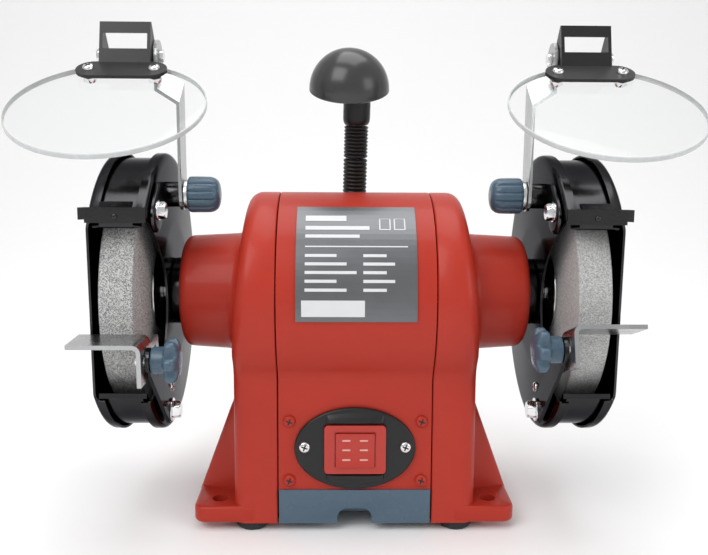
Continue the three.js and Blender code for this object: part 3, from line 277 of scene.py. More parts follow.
def round_box(a0, a1, b0, b1, radius, steps=6):
    """Counterclockwise outline of a rectangle with round corners."""
    corners = [(a1 - radius, b0 + radius, -90), (a1 - radius, b1 - radius, 0),
               (a0 + radius, b1 - radius, 90), (a0 + radius, b0 + radius, 180)]
    out = []
    for a, b, start in corners:
        turn = np.radians(np.linspace(start, start + 90, steps + 1))
        out.extend(np.stack([a + radius * np.cos(turn), b + radius * np.sin(turn)], 1))
    return np.array(out)


def arch(inset=0.0, bottom=None, count=56):
    """Housing section from the front foot over the top: wall, concave waist arc, circle."""
    bottom = FOOT_Z if bottom is None else bottom
    foot = np.array([-FOOT_HALF_DEPTH, FOOT_Z])
    run = np.array([-WAIST[0], WAIST[1]]) - foot
    run /= np.linalg.norm(run)
    out = np.array([-run[1], run[0]])
    axis = np.array([0.0, AXIS_Z])
    fillet = 16.0
    offset = foot + out * fillet - axis
    along = offset @ run
    travel = -along - math.sqrt(along ** 2 - offset @ offset + (ARCH_RADIUS + fillet) ** 2)
    centre = offset + run * travel + axis
    from_wall = math.atan2(-out[1], -out[0])
    to_axis = math.atan2(*(axis - centre)[::-1])
    waist = np.linspace(from_wall, to_axis, 8)
    radius = fillet + inset
    waist = centre + radius * np.stack([np.cos(waist), np.sin(waist)], 1)
    turn = np.linspace(to_axis + math.pi, math.pi / 2, count // 2)[1:]
    radius = ARCH_RADIUS - inset
    top = np.stack([radius * np.cos(turn), AXIS_Z + radius * np.sin(turn)], 1)
    start = foot + run * (bottom - FOOT_Z) / run[1] - out * inset
    wall = start + np.linspace(0, 1, 6)[:-1, None] * (waist[0] - start)
    front = np.concatenate([wall, waist, top])
    return np.concatenate([front, front[-2::-1] * [-1, 1]])


def wall_depth(z):
    """Distance of the leaning front wall from the middle plane at a height."""
    return FOOT_HALF_DEPTH - (z - FOOT_Z) * (FOOT_HALF_DEPTH - WAIST[0]) / (WAIST[1] - FOOT_Z)


# ---- finishes ---------------------------------------------------------------
FINISHES = {}


def add_node(tree, kind, values=None, sources=None):
    """New shader node with input values set and inputs linked from other nodes' outputs."""
    made = tree.nodes.new(kind)
    for key, value in (values or {}).items():
        made.inputs[key].default_value = value
    for key, output in (sources or {}).items():
        tree.links.new(output, made.inputs[key])
    return made


def mix_colours(tree, factor, first, second):
    """Mix of two colours; each is a colour or the output of a node."""
    made = tree.nodes.new("ShaderNodeMix")
    made.data_type = "RGBA"
    tree.links.new(factor, made.inputs[0])
    for index, value in ((6, first), (7, second)):
        if isinstance(value, bpy.types.NodeSocket):
            tree.links.new(value, made.inputs[index])
        else:
            made.inputs[index].default_value = value
    return made.outputs[2]


def empty_finish(name):
    """Material with nodes, kept under its name so that pieces share it."""
    made = bpy.data.materials.new(f"{name}_finish")
    made.use_nodes = True
    FINISHES[name] = made
    return made


def finish(name, base, roughness, metallic=0.0, coat=0.0, spread=0.06, scale=60, bumps=900,
           bump=0.02, rough_spread=0.08, edge_lighten=0.0, stretch=(1, 1, 1), specular=0.5, rim=(1, 1, 1)):
    """Principled finish: slow colour drift, roughness drift and a fine bump, in object space."""
    if name in FINISHES:
        return FINISHES[name]
    made = empty_finish(name)
    tree = made.node_tree
    shader = tree.nodes["Principled BSDF"]
    fixed = {"Metallic": metallic, "Coat Weight": coat, "Specular IOR Level": specular,
             "Specular Tint": [*rim, 1], "Coat Roughness": 0.06}
    for key, value in fixed.items():
        shader.inputs[key].default_value = value
    space = add_node(tree, "ShaderNodeTexCoord")
    mapping = add_node(tree, "ShaderNodeMapping", {"Scale": stretch}, {"Vector": space.outputs["Object"]})
    place_on = {"Vector": mapping.outputs["Vector"]}
    drift = add_node(tree, "ShaderNodeTexNoise", {"Scale": scale, "Detail": 4}, place_on)
    darker = [c * (1 - spread) for c in base] + [1]
    lighter = [min(1, c * (1 + spread) + spread * 0.01) for c in base] + [1]
    tint = mix_colours(tree, drift.outputs["Fac"], darker, lighter)
    # Lighter tone of the same hue on convex edges, found by pointiness.
    if edge_lighten:
        geometry = add_node(tree, "ShaderNodeNewGeometry")
        edge = add_node(tree, "ShaderNodeMapRange", {"From Min": 0.515, "From Max": 0.60, "To Max": edge_lighten},
                        {"Value": geometry.outputs["Pointiness"]})
        edge_tone = [min(1, c * 1.6 + 0.05) for c in base] + [1]
        tint = mix_colours(tree, edge.outputs["Result"], tint, edge_tone)
    tree.links.new(tint, shader.inputs["Base Color"])
    limits = {"To Min": max(0.02, roughness - rough_spread), "To Max": roughness + rough_spread}
    rough = add_node(tree, "ShaderNodeMapRange", limits, {"Value": drift.outputs["Fac"]})
    tree.links.new(rough.outputs["Result"], shader.inputs["Roughness"])
    fine = add_node(tree, "ShaderNodeTexNoise", {"Scale": bumps, "Detail": 2}, place_on)
    relief = add_node(tree, "ShaderNodeBump", {"Strength": bump, "Distance": 0.001},
                      {"Height": fine.outputs["Fac"]})
    tree.links.new(relief.outputs["Normal"], shader.inputs["Normal"])
    return made


def stone(name, base, grit, contrast):
    """Bonded abrasive: cells of light and dark grain with pits between them."""
    made = finish(name, base, 0.9, spread=0.08, scale=90, bumps=grit * 2, bump=0.3, rough_spread=0.05)
    tree = made.node_tree
    shader = tree.nodes["Principled BSDF"]
    space = next(n for n in tree.nodes if n.type == "TEX_COORD")
    cells = add_node(tree, "ShaderNodeTexVoronoi", {"Scale": grit, "Randomness": 1},
                     {"Vector": space.outputs["Object"]})
    grey = add_node(tree, "ShaderNodeRGBToBW", sources={"Color": cells.outputs["Color"]})
    ramp = add_node(tree, "ShaderNodeValToRGB", sources={"Fac": grey.outputs["Val"]})
    dark, light = ramp.color_ramp.elements
    dark.position, light.position = 0.36, 0.62
    dark.color = [c * (1 - contrast) for c in base] + [1]
    light.color = [min(1, c * (1 + contrast)) for c in base] + [1]
    tree.links.new(ramp.outputs["Color"], shader.inputs["Base Color"])
    relief = next(n for n in tree.nodes if n.type == "BUMP")
    tree.links.new(cells.outputs["Distance"], relief.inputs["Height"])
    relief.inputs["Strength"].default_value = 0.5
    relief.inputs["Distance"].default_value = 0.00015
    return made


def clear_plastic():
    """Thin clear sheet: see-through face on, mirror-like toward the rim."""
    name = "clear_polycarbonate"
    if name in FINISHES:
        return FINISHES[name]
    made = empty_finish(name)
    tree = made.node_tree
    tree.nodes.remove(tree.nodes["Principled BSDF"])
    through = add_node(tree, "ShaderNodeBsdfTransparent", {"Color": (0.993, 0.996, 0.996, 1)})
    facing = add_node(tree, "ShaderNodeLayerWeight", {"Blend": 0.5})
    steep = add_node(tree, "ShaderNodeMath", {1: 4.0}, {0: facing.outputs["Facing"]})
    steep.operation = "POWER"
    share = add_node(tree, "ShaderNodeMapRange", {"To Min": 0.008, "To Max": 0.30},
                     {"Value": steep.outputs["Value"]})
    space = add_node(tree, "ShaderNodeTexCoord")
    haze = add_node(tree, "ShaderNodeTexNoise", {"Scale": 45}, {"Vector": space.outputs["Object"]})
    rough = add_node(tree, "ShaderNodeMapRange", {"To Min": 0.02, "To Max": 0.10},
                     {"Value": haze.outputs["Fac"]})
    shine = add_node(tree, "ShaderNodeBsdfGlossy", {"Color": (0.95, 0.96, 0.97, 1)},
                     {"Roughness": rough.outputs["Result"]})
    mixed = add_node(tree, "ShaderNodeMixShader", sources={
        "Fac": share.outputs["Result"], 1: through.outputs["BSDF"], 2: shine.outputs["BSDF"]})
    tree.links.new(mixed.outputs["Shader"], tree.nodes["Material Output"].inputs["Surface"])
    return made


def sawn_edge():
    return finish("polycarbonate_edge", (0.50, 0.52, 0.52), 0.25, spread=0.12, scale=300,
                  bumps=1500, bump=0.05)


def enamel():
    return finish("red_enamel", colours().enamel, 0.40, coat=0.08, spread=0.05,
                  bumps=sizes().enamel_grain, bump=0.045, edge_lighten=0.12, specular=0.22)


def guard_enamel():
    return finish("gloss_black_enamel", colours().guard, 0.17, metallic=1.0, spread=0.15,
                  bumps=500, bump=0.03, rough_spread=0.05, rim=(0.42, 0.42, 0.43))


def blue_plastic():
    return finish("slate_blue_plastic", colours().plastic, 0.27, spread=0.05,
                  bumps=1500, bump=0.06, edge_lighten=0.15, specular=0.45)


def black_plastic():
    return finish("black_plastic", colours().black_plastic, 0.36, spread=0.1,
                  bumps=1300, bump=0.08, specular=0.35)


def lamp_plastic():
    return finish("lamp_plastic", colours().lamp, 0.24, spread=0.06, bumps=1000, bump=0.02, specular=0.5)


def red_plastic():
    return finish("red_switch_plastic", colours().switch, 0.34, coat=0.05, spread=0.05, bumps=1200, bump=0.03)


def rubber():
    return finish("rubber", (0.015, 0.015, 0.016), 0.75, spread=0.15, bumps=1400, bump=0.12)


def strip_steel():
    return finish("plated_steel_strip", (0.43, 0.435, 0.44), 0.27, metallic=1.0, spread=0.16, scale=80,
                  bumps=700, bump=0.05, stretch=(1, 1, 0.12))


def sheet_zinc():
    return finish("galvanised_sheet", (0.55, 0.56, 0.57), 0.42, metallic=1.0, spread=0.14,
                  scale=120, bump=0.03)


def bright_steel():
    return finish("bright_steel", (0.66, 0.66, 0.65), 0.24, metallic=1.0, spread=0.08, scale=150,
                  bumps=1600, bump=0.03)


def chrome():
    return finish("chromed_fastener", (0.72, 0.72, 0.73), 0.14, metallic=1.0, spread=0.06,
                  scale=200, bump=0.01)


# Near-black finish for screw cross slots: painted shade that stands in for the shade inside the slots.
def painted_slot_shade():
    return finish("painted_slot_shade", (0.01, 0.01, 0.01), 0.6, spread=0.2, bumps=1000, bump=0.05)


def pale_print():
    return finish("pale_print", (0.62, 0.63, 0.64), 0.4, spread=0.06, bumps=1500, bump=0.02)


def faded_print():
    return finish("faded_print", (0.60, 0.33, 0.28), 0.45, spread=0.15, scale=400, bumps=1500, bump=0.02)


# ---- fasteners --------------------------------------------------------------
def screw(piece, centre, direction, radius, height, cross_slot=1):
    """Domed cross-slot screw head with its foot at `centre`; the cross is a flush bar whose near-black colour
    is painted shade for the slot.
    """
    profile = [[radius, -SCREW_SINK], [radius, height * 0.35], [radius * 0.82, height * 0.8],
               [radius * 0.45, height], [0, height]]
    piece.grid(turned(soften(profile, height * 0.4), centre, direction, 28), wrap_columns=True)
    d = np.asarray(direction, float) / np.linalg.norm(direction)
    side = np.cross(d, [0.31, 0.2, 0.93])
    side /= np.linalg.norm(side)
    # Cross bars in the near-black slot finish: painted shade where a real slot is a shaded recess.
    for arm in (side, np.cross(d, side)):
        across = np.cross(d, arm)
        outline = round_box(-radius * 0.55, radius * 0.55, -radius * 0.13, radius * 0.13, radius * 0.1, 2)
        piece.grid(slab(outline, (arm, across, d), centre, height * 0.5, height + 0.06, 0.03, 1),
                   wrap_columns=True, slot=cross_slot)


def hex_head(piece, centre, direction, flats, height, washer=0.0):
    """Hexagon head with a chamfered crown, on a washer when one is given."""
    corner = flats / math.sqrt(3)

    def hexagon(radius, angle):
        edge = flats / 2 / np.cos((angle + math.pi / 6) % (math.pi / 3) - math.pi / 6)
        return np.minimum(radius, edge)

    base = 0.0
    centre = np.asarray(centre, float)
    if washer:
        ring = soften([[0, -0.3], [washer, -0.3], [washer, 1.2], [0, 1.2]], 0.3)
        piece.grid(turned(ring, centre, direction, 36), wrap_columns=True)
        base = 1.2
    profile = [[0, base], [corner, base], [corner, base + height - 1.0], [corner * 0.84, base + height],
               [0, base + height]]
    piece.grid(turned(profile, centre, direction, 48, hexagon), wrap_columns=True)


# ---- operators --------------------------------------------------------------
class BuildPiece:
    """Shared by every operator: run `make`, which raises when it can't finish."""

    bl_options = {"REGISTER", "UNDO"}

    def execute(self, context):
        self.make()
        return {"FINISHED"}


class GRINDER_OT_stage(BuildPiece, bpy.types.Operator):
    """Camera, pale floor and soft studio light"""

    bl_idname = "grinder.stage"
    bl_label = "Stage"

    def make(self):
        scene = bpy.context.scene
        scene.view_settings.view_transform = "Standard"
        pitch, yaw, roll = 0.1689, 0.02, 0.0067
        level = np.array([math.cos(yaw), -math.sin(yaw), 0])
        ahead = np.array([math.sin(yaw), math.cos(yaw), 0])
        up = np.array([0, 0, 1.0])
        forward = ahead * math.cos(pitch) - up * math.sin(pitch)
        lift = up * math.cos(pitch) + ahead * math.sin(pitch)
        right = level * math.cos(roll) + lift * math.sin(roll)
        lift = lift * math.cos(roll) - level * math.sin(roll)
        lens = bpy.data.cameras.new("view")
        lens.lens = 43.44
        lens.clip_start = 0.02
        camera = bpy.data.objects.new("view", lens)
        turn = Matrix([right, lift, -forward]).transposed().to_4x4()
        camera.matrix_world = Matrix.Translation(place([-11.6, -565.7, 252.0])) @ turn
        scene.collection.objects.link(camera)
        scene.camera = camera
        self.floor(scene)
        self.lights(scene)

    def floor(self, scene):
        """Floor sweeping up into a wall: P(x, s) along a rounded right angle."""
        path = soften([[-4000, 0], [1500, 0], [1500, 3500]], 1200, 24)
        across = np.linspace(-5000, 5000, 5)
        y, z = path[:, 0][:, None] + 0 * across, path[:, 1][:, None] + 0 * across
        points = place(np.stack([across + 0 * y, y, z - 0.02], -1))
        mesh = bpy.data.meshes.new("floor")
        mesh.from_pydata(points.reshape(-1, 3), [], quads(*points.shape[:2], False, False).tolist())
        mesh.polygons.foreach_set("use_smooth", np.ones(len(mesh.polygons), bool))
        mesh.materials.append(finish("backdrop", colours().backdrop, 0.7, spread=0.005, scale=2,
                                     bump=0.0, rough_spread=0.02))
        floor = bpy.data.objects.new("floor", mesh)
        scene.collection.objects.link(floor)

    def lights(self, scene):
        world = bpy.data.worlds.new("studio")
        world.use_nodes = True
        world.node_tree.nodes["Background"].inputs["Color"].default_value = (1, 1, 1, 1)
        world.node_tree.nodes["Background"].inputs["Strength"].default_value = 0.66
        scene.world = world
        softboxes = [
            ("key", (-0.60, -0.80, 1.05), 0.8, 1.0),
            ("top", (0.05, 0.10, 1.30), 0.9, 0.9),
            ("fill", (1.20, -0.80, 0.55), 0.7, 0.45),
        ]
        target = np.array([0.0, 0.0, 0.15])
        for name, spot, size, share in softboxes:
            lamp = bpy.data.lights.new(name, "AREA")
            lamp.size = size
            lamp.energy = sizes().key_light * share
            obj = bpy.data.objects.new(name, lamp)
            toward = target - np.array(spot)
            obj.matrix_world = look_along(toward, spot)
            scene.collection.objects.link(obj)


def look_along(direction, position):
    """Matrix whose -Z points along `direction`."""
    back = -np.asarray(direction, float) / np.linalg.norm(direction)
    side = np.cross([0, 0, 1.0], back)
    side /= np.linalg.norm(side)
    turn = Matrix([side, np.cross(back, side), back]).transposed().to_4x4()
    return Matrix.Translation(position) @ turn


class GRINDER_OT_housing(BuildPiece, bpy.types.Operator):
    """Motor shell, end bells with their necks, foot flanges and ribs"""

    bl_idname = "grinder.housing"
    bl_label = "Housing"

    def make(self):
        wall = 2.4
        section = arch(wall / 2)
        section = section[section[:, 1] > 0]
        front = section[:, 0] < 0
        tray_gap = 0.6
        low = corners("water_tray")[1][2] + tray_gap
        section[:, 1] = np.where(front, np.maximum(section[:, 1], low), section[:, 1])
        edge = SHELL_HALF
        x = np.array([-edge, -edge + 0.6, -edge + 4, -20, 20, edge - 4, edge - 0.6, edge])
        points = np.stack(np.broadcast_arrays(x[None, :], section[:, :1], section[:, 1:]), -1)
        shell = Piece("shell_skin").grid(points)
        shell.build("housing", [enamel()], "red_casing", ["motor_shell"], thickness=wall)
        for side, sign in SIDES.items():
            self.bell(side, sign)
            self.flange(side, sign)

    def bell(self, side, sign):
        """Loft of arch sections that turns into circles around the shaft for the neck."""
        top, rounding, root, end = 68.5, 8.0, 38.5, 37.0

        def lean(z):
            return 8.5 * np.clip((AXIS_Z + ARCH_RADIUS - z) / (AXIS_Z + ARCH_RADIUS - 115), 0, 1)

        def ring(inset):
            section = arch(inset)
            base = np.linspace(section[-1], section[0], 22)[1:-1]
            return np.concatenate([section, base])

        rows = []
        for x, inset in ((BELL_START, 1.6), (BELL_START + 0.25, 0.5), (BELL_START + 1.0, 0.0)):
            section = ring(inset)
            rows.append(np.column_stack([np.full(len(section), x), section]))
        for turn in np.radians(np.linspace(0, 90, 8)):
            section = ring(rounding * (1 - math.cos(turn)))
            x = top - rounding * (1 - math.sin(turn)) + lean(section[:, 1])
            rows.append(np.column_stack([x, section]))
        rim = rows[-1][:, 1:]
        angle = np.arctan2(rim[:, 1] - AXIS_Z, rim[:, 0])
        around = np.stack([np.cos(angle), np.sin(angle)], 1)
        axis = np.array([0, AXIS_Z])
        blend = 7.0
        face = axis + around * (root + blend)
        for share in np.linspace(0, 1, 7)[1:]:
            mixed = rim + (face - rim) * share
            rows.append(np.column_stack([top + lean(mixed[:, 1]), mixed]))
        foot_x = rows[-1][:, 0]
        for turn in np.radians(np.linspace(0, 90, 7))[1:]:
            circle = axis + around * (root + blend * (1 - math.sin(turn)))
            rows.append(np.column_stack([foot_x + blend * (1 - math.cos(turn)), circle]))
        start_x = rows[-1][:, 0]
        for share in (0.3, 0.65, 1.0):
            circle = axis + around * (root + (end - root) * share)
            rows.append(np.column_stack([start_x + (106 - start_x) * share, circle]))
        nose = [[end - 6 * (1 - math.cos(t)), 106 + 6 * math.sin(t)] for t in np.radians(range(15, 91, 15))]
        nose += [[23, 112]]
        for radius, x in nose:
            rows.append(np.column_stack([np.full(len(rim), x), axis + around * radius]))
        points = np.array(rows) * [sign, 1, 1]
        bell = Piece(f"bell_skin_{side}").grid(points, wrap_columns=True)
        spigot = soften([[23, 112], [22, 112.4], [22, 119.0], [9, 119.1]], 0.6) * [1, sign]
        bell.grid(turned(spigot, (0, 0, AXIS_Z), count=72), wrap_columns=True, slot=1)
        self.rib(bell, sign, lean, top)
        bell.build("housing", [enamel(), guard_enamel()], "red_casing", [f"end_bell_{side}"], sharp=50)

    def rib(self, bell, sign, lean, top):
        """Middle rib: x(y, z) = face(z) + rise(z) * smooth step of |y|, rise falling to the flange edge."""
        half = 22.0
        y = np.concatenate([np.linspace(-half - 8, -half + 4, 12), np.linspace(-half + 6, half - 6, 7),
                            np.linspace(half - 4, half + 8, 12)])
        z = np.concatenate([np.linspace(14, 22, 9), np.linspace(26, 70, 10), np.linspace(73, 84, 9)])
        yy, zz = np.meshgrid(y, z)
        slope = FLANGE_REACH - 1.0 - (zz - 19) * (FLANGE_REACH - 80.5) / (79 - 19)
        face = top + lean(zz)
        rise = np.maximum(slope - face, 0)
        rise = rise * np.clip((84 - zz) / 10, 0, 1) ** 0.6
        share = np.clip((half + 7 - np.abs(yy)) / 11, 0, 1)
        share = share * share * (3 - 2 * share)
        bell.grid(np.stack([sign * (face + rise * share - 0.3), yy, zz], -1))

    def flange(self, side, sign):
        top = 16.5
        outline = round_box(58, FLANGE_REACH, -FOOT_HALF_DEPTH, FOOT_HALF_DEPTH, 7.5)
        basis = ((sign, 0, 0), (0, 1, 0), (0, 0, 1))
        flange = Piece(f"foot_flange_{side}")
        flange.grid(slab(outline, basis, (0, 0, 0), FOOT_Z, top, 2.2, 4), wrap_columns=True)
        obj = flange.build("housing", [enamel()], "red_casing")
        for y in (-40, 40):
            bore = Piece("bore").grid(turned([[0, -9], [5.2, -9], [5.2, 30], [0, 30]], (sign * 87, y, 0),
                                             (0, 0, 1), 40), wrap_columns=True)
            drill(obj, bore.build("housing", [enamel()], "red_casing"))


def drill(obj, cutter):
    """Subtracts `cutter` from `obj` for good and removes it."""
    difference = obj.modifiers.new("drill", "BOOLEAN")
    difference.operation = "DIFFERENCE"
    difference.object = cutter
    bpy.context.view_layer.update()
    shape = obj.evaluated_get(bpy.context.evaluated_depsgraph_get())
    obj.data = bpy.data.meshes.new_from_object(shape)
    obj.modifiers.clear()
    bpy.data.objects.remove(cutter)
    obj.data.set_sharp_from_angle(angle=math.radians(45))


class GRINDER_OT_switch(BuildPiece, bpy.types.Operator):
    """Oval switch plate with its hoods and screws, the casing screws around it, the rocker's marks"""

    bl_idname = "grinder.switch"
    bl_label = "Switch"
    height = 55.3
    plate = (38.2, 26.5)
    window = (19.6, 15.8)
    back, face = 0.2, 3.2

    def make(self):
        lean = math.atan2(FOOT_HALF_DEPTH - WAIST[0], WAIST[1] - FOOT_Z)
        self.origin = np.array([0, -wall_depth(self.height), self.height])
        self.right = np.array([1.0, 0, 0])
        self.up = np.array([0, math.sin(lean), math.cos(lean)])
        self.out = np.array([0, -math.cos(lean), math.sin(lean)])
        turn = np.linspace(0, 2 * math.pi, 96, endpoint=False)
        oval = np.stack([self.plate[0] * np.cos(turn), self.plate[1] * np.sin(turn)], 1)
        basis = (self.right, self.up, self.out)
        rings = slab(oval, basis, self.origin, self.back, self.face, 1.6, 4)
        ray = np.maximum(np.abs(np.cos(turn)) / self.window[0], np.abs(np.sin(turn)) / self.window[1])
        for ring, level in ((0, self.back), (-1, self.face)):
            rings[ring] = self.at(np.cos(turn) / ray, np.sin(turn) / ray, level + 0 * turn)
        bezel = Piece("switch_plate").grid(rings, wrap_rows=True, wrap_columns=True)
        for sign in (1, -1):
            across, along = np.meshgrid(np.linspace(-1, 1, 41), np.linspace(0, 1, 17))
            a = 18.6 * across
            b = 16.4 + along * (7.6 * np.sqrt(1 - (0.62 * across) ** 2) - 0.6)
            crown = np.sqrt(np.clip(1 - across ** 8, 0, 1)) * np.minimum(1, np.sqrt(along * 12))
            c = 2.9 + 2.7 * crown * (1 - along ** 2)
            bezel.grid(self.at(a.ravel(), sign * b.ravel(), c.ravel()).reshape(*a.shape, 3))
        bezel.build("housing", [black_plastic()], "black_plastic", ["switch_bezel"], sharp=45)
        screws = Piece("switch_plate_screws")
        for x in (-31.7, 31.7):
            screw(screws, self.at(x, 1.2, self.face)[0], self.out, 3.7, 2.3)
        screws.build("housing", [chrome(), painted_slot_shade()], "turned_steel")
        painted = Piece("casing_screws")
        for x in (-41.4, 42.0):
            for z in (72.2, 34.0):
                screw(painted, np.array([x, -wall_depth(z), z]), self.out, 3.9, 2.6)
        painted.build("housing", [enamel(), painted_slot_shade()], "red_casing")
        marks = Piece("rocker_marks")
        for a in (-5.5, 5.5):
            for b, face in ((-6.2, 6.45), (0, 6.02), (6.2, 6.45)):
                outline = round_box(a - 2.6, a + 2.6, b - 0.55, b + 0.55, 0.4, 2)
                bar = slab(outline, basis, self.origin, face - 0.3, face + 0.12, 0.1, 1)
                marks.grid(bar, wrap_columns=True)
        marks.build("rocker", [faded_print()], "switch_red")

    def at(self, a, b, c):
        """Points on the leaning wall: a to the right, b up, c out of the wall."""
        a, b, c = (np.atleast_1d(v).astype(float)[:, None] for v in (a, b, c))
        return self.origin + a * self.right + b * self.up + c * self.out


class GRINDER_OT_label(BuildPiece, bpy.types.Operator):
    """Blank bars and boxes printed on the rating plate"""

    bl_idname = "grinder.label"
    bl_label = "Rating plate"

    def make(self):
        print_radius = ARCH_RADIUS + 1.22
        marks = Piece("plate_print")
        bars = [(-31, -6, 50, 54), (-31, 8, 44, 46.5), (-31, 2, 39, 41), (-31, 31, 33.5, 34.2)]
        bars += [(-31, -12 + 6 * (k % 3), 28 - 4.5 * k, 29.6 - 4.5 * k) for k in range(5)]
        bars += [(-33, 5, -3, 5.5)]
        bars += [(4, 18 + 5 * (k % 2), 28 - 4.5 * k, 29.6 - 4.5 * k) for k in range(5)]
        for x0, x1, low, high in bars:
            self.patch(marks, x0, x1, low, high, print_radius)
        for x0 in (14, 23):
            self.frame(marks, x0, x0 + 7, 44, 52, print_radius)
        marks.build("housing", [pale_print()], "label_plate")

    def patch(self, piece, x0, x1, low, high, radius):
        """Strip P(x, a) of a cylinder around the shaft."""
        angle = np.radians(180 - np.linspace(low, high, max(2, int((high - low) / 2) + 2)))
        x = np.array([x0, x1])
        aa, xx = np.meshgrid(angle, x, indexing="ij")
        piece.grid(np.stack([xx, radius * np.cos(aa), AXIS_Z + radius * np.sin(aa)], -1))

    def frame(self, piece, x0, x1, low, high, radius):
        line, turn = 0.7, 0.6
        self.patch(piece, x0, x1, low, low + turn, radius)
        self.patch(piece, x0, x1, high - turn, high, radius)
        self.patch(piece, x0, x0 + line, low, high, radius)
        self.patch(piece, x1 - line, x1, low, high, radius)


def notch_angles(radius):
    """Angles from straight ahead at which the inner cover starts above and below its notch."""
    high = math.sqrt(GUARD_RADIUS ** 2 - GUARD_FRONT ** 2) + 1.5
    t = np.linspace(0, 1, 60)
    out = []
    for bend in (0.55, 0.6):
        y = (1 - t) ** 2 * GUARD_FRONT + 2 * t * (1 - t) * 29.5 + t ** 2 * 27.5
        z = (1 - t) ** 2 * high + 2 * t * (1 - t) * high * bend
        out.append(np.interp(radius, np.hypot(y, z)[::-1], np.arctan2(z, y)[::-1], left=0))
    return out


def front_angles(radius):
    """Angles from straight ahead at which the outer cover meets its flat front edge."""
    angle = np.arccos(np.minimum(1, (GUARD_FRONT - 0.3) / np.maximum(radius, 1e-6)))
    return angle, angle


def open_disc(profile, angles, sign, count=150):
    """Turned sheet that leaves out the front: P(i, s) with the angle running between `angles`."""
    radius, x = profile[:, 0], profile[:, 1]
    above, below = angles(radius)
    share = np.linspace(0, 1, count)
    angle = above[:, None] + share * (2 * math.pi - below - above)[:, None]
    return np.stack([sign * x[:, None] + 0 * angle, -radius[:, None] * np.cos(angle),
                     AXIS_Z + radius[:, None] * np.sin(angle)], -1)


